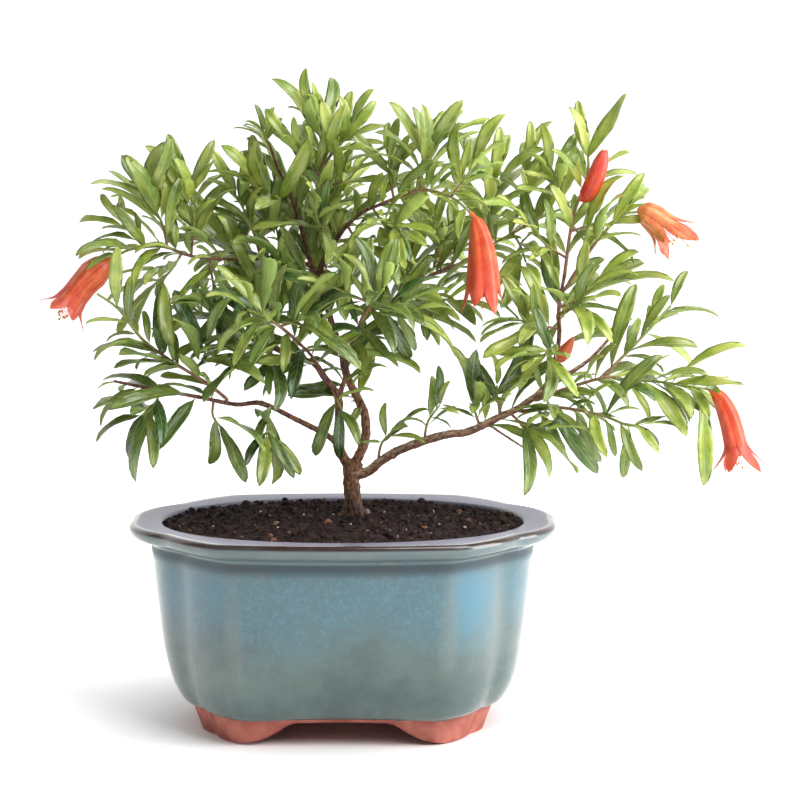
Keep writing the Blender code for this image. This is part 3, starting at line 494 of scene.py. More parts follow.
def glazedFinish():
    look = Finish("speckledGlaze", Coat_Roughness=0.06, Coat_IOR=1.5, IOR=1.5)
    at = look.spot()
    x, y, z = look.axes(at)
    broad = look.noise(at, 0.022, 4.0)
    cloud = look.noise(at, 0.05, 5.0, 0.6)
    speck = look.noise(at, 0.42, 4.0, 0.75)
    fine = look.noise(at, 1.6, 2.0)
    # grey green glaze that turns turquoise in a mottled band below the lip
    height = z + (broad - 0.5) * 46 + (cloud - 0.5) * 26
    band = height.ramp(*glazeHeights["bandLow"]) * (1 - height.ramp(*glazeHeights["bandHigh"]))
    body = look.blend(cloud.ramp(0.38, 0.64), *glazeTints["body"])
    body = look.blend(band * 0.8, body, glazeTints["band"])
    mottle = speck.ramp(0.38, 0.78) * band * broad.ramp(0.42, 0.58, 0.3, 0.75)
    body = look.blend(mottle, body, glazeTints["mottle"])
    body = look.blend(speck.ramp(0.5, 0.75) * 0.2, body, glazeTints["speck"])
    # the glaze stands thicker and bluer in a few places on the corner panels
    for middle, reach, share in glazePools:
        px, py, pz = inFrame(middle) / mm
        away = ((x - px) ** 2.0 + (y - py) ** 2.0 + (z - pz) ** 2.0) ** 0.5
        away = away + (cloud - 0.5) * 34 + (speck - 0.5) * 12
        body = look.blend((1 - away.ramp(reach * 0.1, reach * 1.1)) * share, body, glazeTints["pool"])
    # a paler grey band along the folds between the panels, stronger lower down
    fold = look.named("fold")
    body = look.blend(fold * (80 - height).ramp(-10.0, 40.0, 0.25, 0.75), body, glazeTints["fold"])
    body = look.blend(fine.ramp(0.6, 0.74) * 0.25, body, glazeTints["fine"])
    # the rim: painted shade under the lip, grey green lip, a brown line along its upper edge, lavender grey
    # ledge
    shade = z.ramp(*glazeHeights["paintedUnderLipShade"]) * (1 - z.ramp(*glazeHeights["paintedUnderLipShadeEnd"]))
    body = look.blend(shade * 0.8, body, glazeTints["paintedUnderLipShade"])
    lip = z.ramp(*glazeHeights["lip"])
    body = look.blend(lip * 0.7, body, look.blend(cloud, *glazeTints["lip"]))
    edge = look.named("edge")
    body = look.blend(edge * cloud.ramp(0.25, 0.6, 0.7, 1.0), body, glazeTints["lipLine"])
    ledge = look.named("ledge")
    body = look.blend(ledge * 0.92, body, look.blend(cloud, *glazeTints["ledge"]))
    # bare clay at the feet and under the base
    patch = look.noise(at, 0.11, 4.0).ramp(0.35, 0.65)
    pit = look.noise(at, 1.2, 2.0).ramp(0.6, 0.75)
    clayTone = look.blend(patch, *glazeTints["clay"])
    clayTone = look.blend(pit * 0.35, clayTone, glazeTints["clayPits"])
    uneven = (look.noise(at, 0.12, 2.0) - 0.5) * 1.6
    clay = 1 - (z + uneven).ramp(*glazeHeights["clayEnd"])
    look.set(Base_Color=look.blend(clay, body, clayTone))
    look.set(Roughness=(clay * 0.6 + ledge * 0.2 + shade * 0.35 + 0.2 + (cloud - 0.5) * 0.12))
    look.set(Coat_Weight=(1 - clay - shade * 0.7) * 0.75 - ledge * 0.6)
    relief = clay * look.noise(at, 2.2, 3.0) * 0.6 + (1 - clay) * look.noise(at, 0.09, 2.0)
    look.bump(relief, 0.35, 0.0006)
    return look.material


def makePot():
    carrier = boreDrains(carrierOf("potBody", loftRings("potBody", potRings())))
    mesh = carrier.data.copy()
    bpy.data.objects.remove(carrier)
    # marks for the glaze: panel folds, the lip's upper edge and the ledge
    rim = treeOf([(*p, 0.0) for p in planPoints()])
    marks = {"fold": [], "edge": [], "ledge": []}
    heights, lengths, _ = zip(*wallStops[:13])
    full = potSizes["halfLength"]
    for vertex in mesh.vertices:
        p = inLayout(vertex.co)
        scale = full / (np.interp(p.z, heights, lengths) if p.z < potSizes["wallTop"] else full)
        onRim = Vector((abs(p.x) * scale, abs(p.y) * scale))
        near = min((onRim - Vector(corner)).length for corner in planArcs[1][:2])
        onWall = 14 < p.z < potSizes["wallTop"] + 1
        rimDistance = rim.find((p.x, p.y, 0.0))[2]
        isEdge = p.z > potSizes["lipFrom"] and rimDistance < potSizes["lipLine"]
        isLedge = p.z > potSizes["ledgeFrom"] and rimDistance > potSizes["ledgeInset"]
        marks["fold"].append(max(0.0, 1 - near / potSizes["foldWidth"]) if onWall else 0.0)
        marks["edge"].append(float(isEdge))
        marks["ledge"].append(float(isLedge))
    for name, values in marks.items():
        mark(mesh, name, values)
    softShade(mesh, 48)
    addPiece("glazedPot", mesh, ["pot"], glazedFinish())
    print("pot made,", len(mesh.polygons), "faces")


makePot()

# Soil

soilSizes = {
    "edgeHeight": 93.2, "rise": 3.6, "bottom": 19.5, "wallHeights": (25.0, 58.0, 80.0), "gap": 0.35,
    "rings": 60, "around": 160, "lumps": 1.3, "clods": 1.9, "grains": 0.9, "edgeDip": 0.5,
    "halfLength": 86, "halfDepth": 63, "seed": 5, "crumbSeed": 3,
    # crumbs and clumps on each square metre, and how far they reach, in metres
    "crumbs": 130000.0, "crumbReach": (0.0004, 0.0011), "clumps": 11000.0, "clumpReach": (0.001, 0.0021),
}
# bits that stand out: x, y, size, shade (0 dark, 0.5 tan, 1 white)
soilBits = [
    (38, 52, 5.5, 0.0), (-49, 48, 5.0, 0.0), (-30, 55, 3.4, 0.0), (62, 38, 3.6, 0.0), (39, -30, 3.4, 0.5),
    (56, 12, 3.6, 0.45), (30, -36, 1.8, 1.0), (-30, -30, 1.7, 1.0), (24, -20, 1.6, 1.0), (64, -8, 1.8, 0.95),
    (-62, -6, 1.8, 0.9), (12, -40, 2.2, 0.5), (-16, -38, 1.6, 0.98), (46, -22, 1.5, 1.0), (70, 14, 1.8, 0.6),
    (-40, 12, 1.8, 0.95), (-66, 10, 2.0, 0.5), (4, -26, 1.4, 1.0), (-52, -22, 1.4, 1.0), (58, -28, 1.6, 0.9),
]


def soilHeight(x, y, share):
    lump = noise.noise(Vector((x, y, 0.0)) * 0.09) * soilSizes["lumps"] * (1 - share ** 4)
    clod = noise.noise(Vector((x, y, 7.0)) * 0.3) * soilSizes["clods"]
    grain = noise.noise(Vector((x, y, 3.0)) * 0.8) * soilSizes["grains"]
    mound = soilSizes["rise"] * (1 - share ** 2)
    return soilSizes["edgeHeight"] + mound + lump + clod + grain - soilSizes["edgeDip"] * share ** 6


def soilRings():
    around = soilSizes["around"]
    angles = [math.tau * i / around for i in range(around)]
    turns = [Vector((math.cos(angle), math.sin(angle))) for angle in angles]
    rings = []
    for height in (soilSizes["bottom"], *soilSizes["wallHeights"]):
        half = valueOnCurve(insideStops, height) - soilSizes["gap"]
        rings.append([(*insideAt(turn, half), height) for turn in turns])
    top = []
    half = valueOnCurve(insideStops, soilSizes["edgeHeight"]) - soilSizes["gap"]
    for step in range(soilSizes["rings"]):
        share = 1 - step / soilSizes["rings"]
        ring = []
        for turn in turns:
            x, y = insideAt(turn, half)
            ring.append((x * share, y * share, soilHeight(x * share, y * share, share)))
        top.append(ring)
    return rings, top


soilTints = {
    "earth": (colour(28, 18, 18), colour(56, 38, 37)), "grain": colour(84, 66, 60),
    "crumb": colour(74, 55, 50), "tan": colour(128, 88, 68), "white": colour(205, 200, 198),
}


def soilFinish():
    look = Finish("pottingSoil", Roughness=0.92, Specular_IOR_Level=0.3)
    at = look.spot()
    patch = look.noise(at, 0.25, 4.0)
    grain = look.noise(at, 2.4, 2.0)
    body = look.blend(patch.ramp(0.35, 0.65), *soilTints["earth"])
    body = look.blend(grain.ramp(0.62, 0.75) * 0.5, body, soilTints["grain"])
    shade = look.named("shade")
    body = look.blend(shade.ramp(0.06, 0.3) * 0.55, body, soilTints["crumb"])
    body = look.blend(shade.ramp(0.36, 0.44), body, soilTints["tan"])
    body = look.blend(shade.ramp(0.7, 0.9), body, soilTints["white"])
    look.set(Base_Color=body)
    look.bump(grain, 0.5, 0.0004)
    return look.material


def crumbGrowth(finish):
    # crumbs and clumps scattered on the soil's face, and the bits that stand out
    grow = Growth("crumbGrowth")
    small = grow.input("Crumbs")
    large = grow.input("Clumps")
    seed = grow.input("Seed", "Int")
    bed = grow.geometry()
    heaps = []

    def between(kind, low, high, seed):
        # a random value for each crumb; a vector's sockets come before those of a number
        first = 0 if kind == "FLOAT_VECTOR" else 2
        values = {first: low, first + 1: high, "Seed": seed}
        return grow.add("FunctionNodeRandomValue", {"data_type": kind}, values, first // 2)

    kinds = ((small, soilSizes["crumbReach"], 1), (large, soilSizes["clumpReach"], 2))
    for density, reach, faces in kinds:
        spread = grow.add("GeometryNodeDistributePointsOnFaces", None,
                          {"Mesh": bed, "Density": density, "Seed": seed + faces})
        # each is a little flat, and turned at random
        low = tuple(reach[0] * way for way in (0.8, 0.8, 0.6))
        high = tuple(reach[1] * way for way in (1.2, 1.2, 0.9))
        size = between("FLOAT_VECTOR", low, high, seed)
        turn = between("FLOAT_VECTOR", (0.0, 0.0, 0.0), (6.28, 6.28, 6.28), seed + 3)
        ball = grow.add("GeometryNodeMeshIcoSphere", None, {"Radius": 1.0, "Subdivisions": faces})
        heap = grow.add("GeometryNodeInstanceOnPoints", None,
                        {"Points": spread, "Instance": ball, "Rotation": turn, "Scale": size})
        shade = between("FLOAT", 0.0, 1.0, seed + 8) ** 18.0
        heaps.append(grow.add("GeometryNodeStoreNamedAttribute", {"data_type": "FLOAT", "domain": "INSTANCE"},
                              {"Geometry": heap, "Name": "shade", "Value": shade * 0.9}))
    chip = grow.add("GeometryNodeMeshIcoSphere", None, {"Radius": 0.5, "Subdivisions": 2})
    heaps.append(grow.add("GeometryNodeInstanceOnPoints", None, {
        "Points": bed, "Selection": grow.attribute("isBit"), "Instance": chip,
        "Rotation": grow.attribute("turn", "FLOAT_VECTOR"), "Scale": grow.attribute("size", "FLOAT_VECTOR")}))
    joined = grow.add("GeometryNodeJoinGeometry")
    for heap in heaps:
        grow.feed(joined.node.inputs[0], heap)
    solid = grow.add("GeometryNodeRealizeInstances", None, {"Geometry": joined})
    solid = grow.add("GeometryNodeSetMaterial", None, {"Geometry": solid, "Material": finish})
    grow.finish(solid)
    return grow


def makeSoil():
    finish = soilFinish()
    rings, top = soilRings()
    body = loftRings("soilBody", rings + top)
    body.shade_smooth()
    mark(body, "shade", [0.0] * len(body.vertices))
    # the bed carries the crumbs: the top face, and a loose point for each bit
    points = [inFrame(p) for ring in top for p in ring]
    faces = stripFaces(len(top), len(top[0]))
    start = len(points)
    draw = random.Random(soilSizes["seed"])
    for x, y, size, _ in soilBits:
        share = min(1.0, Vector((x / soilSizes["halfLength"], y / soilSizes["halfDepth"])).length)
        points.append(inFrame((x, y, soilHeight(x, y, share) + size * 0.2)))
    bed = bpy.data.meshes.new("soilBed")
    bed.from_pydata(points, [], faces)
    bits = len(soilBits)
    turns = [(draw.uniform(-0.5, 0.5), draw.uniform(-0.5, 0.5), draw.uniform(0, 6)) for _ in range(bits)]
    scales = [(size * mm, size * mm * 0.8, size * mm * 0.6) for _, _, size, _ in soilBits]
    mark(bed, "isBit", [False] * start + [True] * bits, "BOOLEAN")
    mark(bed, "turn", [(0, 0, 0)] * start + turns, "FLOAT_VECTOR")
    mark(bed, "size", [(0, 0, 0)] * start + scales, "FLOAT_VECTOR")
    mark(bed, "shade", [0.0] * start + [shade for _, _, _, shade in soilBits])
    carrier = carrierOf("crumbs", bed)
    crumbGrowth(finish).apply(
        carrier, Crumbs=soilSizes["crumbs"], Clumps=soilSizes["clumps"], Seed=soilSizes["crumbSeed"])
    crumbs = settled(carrier)
    shape = bmesh.new()
    shape.from_mesh(body)
    shape.from_mesh(crumbs)
    shape.to_mesh(body)
    shape.free()
    addPiece("pottingSoil", body, ["soil"], finish)
    print("soil made,", len(body.polygons), "faces")


makeSoil()

# Drain screens: the solids stay, with a woven look

def screenFinish():
    look = Finish("wovenScreen", Roughness=0.6)
    x, y, _ = look.axes(look.spot())
    thread = (x * 3.9).wave().size().atMost((y * 3.9).wave().size())
    # the gaps between the threads are painted near black: painted shade in the holes
    look.set(Base_Color=look.blend(thread.ramp(0.3, 0.5), colour(58, 60, 60), colour(12, 12, 12)))
    look.bump(1 - thread.ramp(0.2, 0.6), 0.6, 0.0004)
    return look.material


screenLook = screenFinish()
for word in ("left", "right"):
    for slot in frame["nodes"]["drain_screen_" + word].material_slots:
        slot.material = screenLook

# Wood

woodSizes = {
    "steps": 5, "sides": 12, "voxel": 0.46, "bumps": 0.13, "ridges": 0.1, "grain": 0.07,
    "trunkGirth": 0.82, "stemGirth": 0.68, "thinnest": 0.75, "relax": 3, "youngBelow": 2.6, "youngOver": 1.6,
    "rootMiddle": (5.0, 0.0, 0.0), "weathered": ("right_low", "dead_twig", "dead_stub"),
}
# bark covered stems: name, parent, where on the parent's points, end radii, route
woodStems = [
    ("trunk", None, 0, (5.6, 6.7, 7.0, 5.0, 4.8, 5.8), [
        (5, 0, 61), (5, 0, 88), (5, 0, 93), (5, 0, 104), (4, 0, 114), (5, 0, 122)]),
    ("left_stem", "trunk", 4.6, (3.8, 1.3), [
        (-1, -1, 127), (-2, -3, 136), (-2, -6, 154), (-7, -8, 162), (-13, -11, 171), (-21, -13, 174),
        (-36, -17, 181), (-50, -20, 190)]),
    ("left_low", "left_stem", 1.4, (2.3, 0.9), [
        (-9, -5, 137), (-21, -11, 144), (-38, -17, 153), (-50, -21, 153), (-67, -25, 157),
        (-90, -31, 162), (-106, -36, 166)]),
    ("left_fork", "left_stem", 3.0, (1.9, 1.4), [(1, -4, 163), (2, -2, 170), (0, 1, 177)]),
    ("middle_stem", "trunk", 4.8, (3.7, 2.6), [
        (9, 1, 128), (11, 3, 136), (10, 5, 146), (4, 4, 159), (1, 3, 167), (0, 2, 175)]),
    ("right_low", "trunk", 4.2, (3.6, 2.3), [
        (12, -2, 118), (19, -4, 124), (29, -7, 130), (48, -11, 137), (60, -13, 139), (74, -15, 146),
        (84, -16, 151), (99, -17, 162)]),
    ("dead_stub", "right_low", 8, (1.9, 1.0), [(110, -17, 169), (118, -17, 175), (127, -17, 185)]),
    ("dead_twig", "right_low", 5.6, (0.9, 0.5), [(81, -16, 135), (91, -18, 129)]),
    ("leader", "middle_stem", 6, (2.5, 0.9), [
        (-4, 4, 185), (-7, 5, 195), (-12, 6, 208), (-16, 6, 220), (-19, 5, 232), (-22, 4, 242),
        (-25, 3, 252), (-30, 2, 262), (-34, 1, 273)]),
    ("top_shoot", "leader", 2.8, (1.5, 1.0), [(-7, 1, 222), (-6, -4, 237), (-8, -7, 250)]),
    ("arching", "leader", 3.2, (1.7, 1.3), [(-6, 0, 225), (7, -10, 241), (21, -16, 248)]),
    ("diagonal", "middle_stem", 5.5, (2.1, 1.3), [
        (10, 5, 183), (25, 11, 197), (39, 16, 209), (56, 21, 216)]),
    ("right_riser", "right_low", 7.8, (2.0, 1.3), [
        (101, -12, 173), (103, -7, 185), (103, -1, 196), (106, 6, 212)]),
    ("left_top", "leader", 3.6, (1.5, 1.2), [(-26, 2, 221), (-46, -3, 220)]),
    ("back_left", "leader", 0.6, (1.7, 1.1), [(-14, 16, 196), (-28, 30, 206)]),
    ("back_right", "diagonal", 1.6, (1.5, 1.1), [(34, 24, 206), (46, 38, 214)]),
    ("back_middle", "leader", 2.4, (1.5, 1.1), [(-9, 22, 220), (-5, 36, 231)]),
    ("front_left", "left_stem", 4.0, (1.4, 1.0), [(-14, -22, 176), (-23, -36, 187)]),
    ("front_middle", "middle_stem", 5.0, (1.4, 1.0), [(4, -14, 180), (9, -29, 193)]),
]
# small spurs and knots: stem, where on it, swelling over the stem's radius, length along the stem
knots = [
    ("trunk", 2.2, 1.12, 2.5), ("trunk", 3.6, 1.1, 2.5), ("trunk", 4.4, 1.12, 3.0),
    ("left_stem", 2.0, 1.22, 2.0), ("left_stem", 4.0, 1.2, 2.0), ("middle_stem", 3.2, 1.2, 2.2),
    ("middle_stem", 5.2, 1.22, 2.0), ("right_low", 2.5, 1.2, 2.2), ("right_low", 5.4, 1.22, 2.0),
    ("right_low", 7.6, 1.25, 1.8), ("leader", 2.6, 1.22, 1.8), ("leader", 4.4, 1.25, 1.5),
    ("left_low", 3.0, 1.25, 1.5), ("left_low", 5.0, 1.25, 1.3),
]
# the shape of a knot: place along it, girth, with 0 for the knot's own swelling
knotShape = [(-1.0, 0.7), (-0.55, 0.97), (0.0, 0), (0.55, 0.97), (1.0, 0.7)]
# root spread at the soil: direction in degrees, length, radius
rootSpread = [(200, 8, 2.1), (255, 6, 1.8), (310, 7, 1.9), (5, 7.5, 2.1), (70, 7, 1.9), (135, 8, 2.0)]
# a root's way down from the stem: share of its length, height, girth
rootShape = [(0.0, 106.0, 0.7), (0.3, 100.5, 1.0), (0.62, 97.6, 0.9), (1.0, 94.5, 0.6)]


class Route:
    # a stem's points and radii; marks tell which of the points its table lists
    def __init__(self, node, points, radii, marks=None):
        self.node = node
        self.points = [Vector(point) for point in points]
        self.marks = marks or list(range(len(self.points)))
        last = len(self.points) - 1
        if len(radii) != len(self.points):
            radii = [radii[0] + (radii[1] - radii[0]) * i / last for i in range(last + 1)]
        self.radii = list(radii)

    def at(self, index):
        # point, direction and radius at a place counted in the listed points
        low = min(int(index), len(self.marks) - 2)
        return self.between(self.marks[low], self.marks[low + 1], min(index, len(self.marks) - 1) - low)

    def along(self, share):
        return self.between(0, len(self.points) - 1, share)

    def between(self, first, end, share):
        steps = [self.points[i + 1] - self.points[i] for i in range(first, end)]
        goal = share * sum(step.length for step in steps)
        low = first
        while low < end - 1 and goal > steps[low - first].length:
            goal -= steps[low - first].length
            low += 1
        step = steps[low - first]
        part = min(goal / step.length, 1.0)
        radius = self.radii[low] + (self.radii[low + 1] - self.radii[low]) * part
        return self.points[low] + step * part, step.normalized(), radius

    def length(self):
        return sum((b - a).length for a, b in zip(self.points, self.points[1:]))

    def smooth(self, steps):
        # a soft line through the points, with its radii
        before = self.points[0] * 2 - self.points[1]
        after = self.points[-1] * 2 - self.points[-2]
        points = [before] + self.points + [after]
        line = []
        for i in range(len(self.points) - 1):
            a, b, c, d = points[i:i + 4]
            for step in range(steps):
                t = step / steps
                bend = (a * -0.5 + b * 1.5 - c * 1.5 + d * 0.5) * t ** 3
                bend += (a - b * 2.5 + c * 2 - d * 0.5) * t ** 2 + (c - a) * 0.5 * t + b
                line.append((bend, self.radii[i] + (self.radii[i + 1] - self.radii[i]) * t))
        return line + [(self.points[-1], self.radii[-1])]


def tubeGrowth():
    # tapered tubes along the carrier's lines
    grow = Growth("tubeGrowth")
    sides = grow.input("Sides", "Int")
    lines = grow.add("GeometryNodeMeshToCurve", None, {"Mesh": grow.geometry()})
    grow.finish(tubesAlong(grow, lines, sides))
    return grow


def linesMesh(name, lines):
    # a mesh of lines; each is a list of (point in layout millimetres, radius in millimetres)
    points = []
    edges = []
    radii = []
    for line in lines:
        start = len(points)
        points += [inFrame(point) for point, _ in line]
        radii += [radius * mm for _, radius in line]
        edges += [(start + i, start + i + 1) for i in range(len(line) - 1)]
    mesh = bpy.data.meshes.new(name)
    mesh.from_pydata(points, edges, [])
    mark(mesh, "thickness", radii)
    return mesh


# bark tints; under is painted shade for the undersides of the wood
barkTints = {
    "old": (colour(62, 38, 30), colour(160, 112, 78)), "oldPatch": colour(158, 128, 98),
    "young": (colour(78, 46, 42), colour(144, 98, 82)), "pale": (colour(118, 86, 72), colour(208, 180, 152)),
    "foot": (colour(40, 28, 29), colour(92, 70, 68)), "fleck": colour(186, 164, 142),
    "under": colour(58, 34, 30), "footHeights": (101.0, 119.0),
}


def barkFinish():
    look = Finish("bark", Specular_IOR_Level=0.35)
    at = look.spot()
    grain = look.noise(at, 0.9, 5.0, 0.65, (1.0, 1.0, 0.35))
    patch = look.noise(at, 0.16, 4.0)
    fleck = look.noise(at, 2.2, 2.0)
    young = look.named("young")
    upper = look.named("upper")
    _, _, z = look.axes(at)
    old = look.blend(grain.ramp(0.38, 0.62), *barkTints["old"])
    old = look.blend(patch.ramp(0.48, 0.66) * 0.55, old, barkTints["oldPatch"])
    twig = look.blend(grain.ramp(0.36, 0.64), *barkTints["young"])
    tone = look.blend(young, old, twig)
    # the low branch and the dead twig and stub are pale with weathering, paler on their upper side as painted
    # light; the trunk dark where it stands in the soil
    streak = look.noise(at, 0.9, 4.0, 0.6, (0.22, 1.0, 1.0))
    pale = look.blend(streak.ramp(0.38, 0.62), *barkTints["pale"])
    tone = look.blend(look.named("weathered") * upper.ramp(-0.3, 0.5, 0.1, 0.9), tone, pale)
    low = look.blend(grain.ramp(0.4, 0.62), *barkTints["foot"])
    tone = look.blend((1 - z.ramp(*barkTints["footHeights"])) * 0.85, tone, low)
    tone = look.blend(fleck.ramp(0.62, 0.72) * 0.5, tone, barkTints["fleck"])
    # painted shade: all the wood is darker on its undersides
    tone = look.blend((1 - upper.ramp(-0.9, 0.1)) * 0.35, tone, barkTints["under"])
    look.set(Base_Color=tone, Roughness=(0.62 + grain * 0.25))
    look.bump(grain + fleck * 0.4, 0.55, 0.0005)
    return look.material


def makeWood():
    routes = {}
    lines = []
    for name, parent, at, radii, points in woodStems:
        start = [routes[parent].at(at)[0]] if parent else []
        girth = woodSizes["stemGirth"] if parent else woodSizes["trunkGirth"]
        radii = [max(radius * girth, min(radius, woodSizes["thinnest"])) for radius in radii]
        routes[name] = Route("trunk_and_branches", start + list(points), radii)
        lines.append(routes[name].smooth(woodSizes["steps"]))
    for stem, at, swelling, length in knots:
        middle, direction, radius = routes[stem].at(at)
        lines.append([
            (middle + direction * length * share, radius * (size or swelling)) for share, size in knotShape])
    stand = Vector(woodSizes["rootMiddle"])
    for turn, length, radius in rootSpread:
        way = Vector((math.cos(math.radians(turn)), math.sin(math.radians(turn)), 0.0))
        lines.append([
            (stand + way * length * share + Vector((0.0, 0.0, height)), radius * size)
            for share, height, size in rootShape])
    carrier = carrierOf("wood", linesMesh("wood", lines))
    tubeGrowth().apply(carrier, Sides=woodSizes["sides"])
    fuse = carrier.modifiers.new("fuse", "REMESH")
    fuse.mode = "VOXEL"
    fuse.voxel_size = woodSizes["voxel"] * mm
    relax = carrier.modifiers.new("relax", "SMOOTH")
    relax.factor = 0.5
    relax.iterations = woodSizes["relax"]
    mesh = settled(carrier)
    # bark relief in proportion to each stem, and marks for its colour
    samples = [(*sample, name) for name, route in routes.items() for sample in route.smooth(6)]
    tree = treeOf([point for point, _, _ in samples])
    normals = [vertex.normal.copy() for vertex in mesh.vertices]
    young = []
    weathered = []
    upper = [normal.z for normal in normals]
    for vertex, normal in zip(mesh.vertices, normals):
        place = inLayout(vertex.co)
        _, radius, name = samples[tree.find(place)[1]]
        lump = noise.noise(place * 0.28) * woodSizes["bumps"]
        ridge = noise.noise(Vector((place.x * 0.9, place.y * 0.9, place.z * 0.3))) * woodSizes["ridges"]
        grain = noise.noise(place * 1.3) * woodSizes["grain"]
        vertex.co += normal * ((lump + ridge + grain) * radius * mm)
        young.append(min(max((woodSizes["youngBelow"] - radius) / woodSizes["youngOver"], 0.0), 1.0))
        weathered.append(float(name in woodSizes["weathered"]))
    mark(mesh, "young", young)
    mark(mesh, "weathered", weathered)
    mark(mesh, "upper", upper)
    mesh.shade_smooth()
    addPiece("trunkAndBranches", mesh, ["trunk_and_branches"], barkFinish())
    print("wood made,", len(mesh.polygons), "faces")
    return routes


routes = makeWood()

# Leafy sprays

spraySizes = {
    "gap": -0.3, "stub": 1.2, "longRadii": (0.95, 0.6), "sideRadii": (0.75, 0.5),
    "stemSides": 7, "stemSteps": 4,
    # the solids' own leaves: where on them their two rings stand, how far they are drawn out, and the
    # degrees by which one may swing aside
    "bladeRings": (0.74, 0.36), "bladeFold": 0.1, "longer": 1.08, "wider": 0.98,
    "swings": (20, -20, 35, -35, 50, -50, 70, -70, 90, -90), "swingMargin": 0.1,
    # further leaves: pairs for each millimetre of stem, lengths as shares of the shoot's own
    "pairs": 0.14, "sizes": (0.62, 1.62), "aspect": 0.2, "widest": 7.6, "clearance": 0.35,
    "seed": 21, "tries": 9, "shrink": 0.94, "opening": (24, 70), "turn": 0.6,
    "droop": 0.35, "droopBelow": 205, "plain": ("spray_stem_leaf", "spray_left_low_hang"),
    # the edges that they keep
    "leftEdge": -116, "leftEdgeBelow": 205, "lowest": 104,
    # what stays in sight from the front, from this many degrees up
    "seenFrom": 7.38, "sightMargin": 4.2, "sightShares": (0.3, 0.45, 0.6, 0.75, 0.9, 1.0),
}
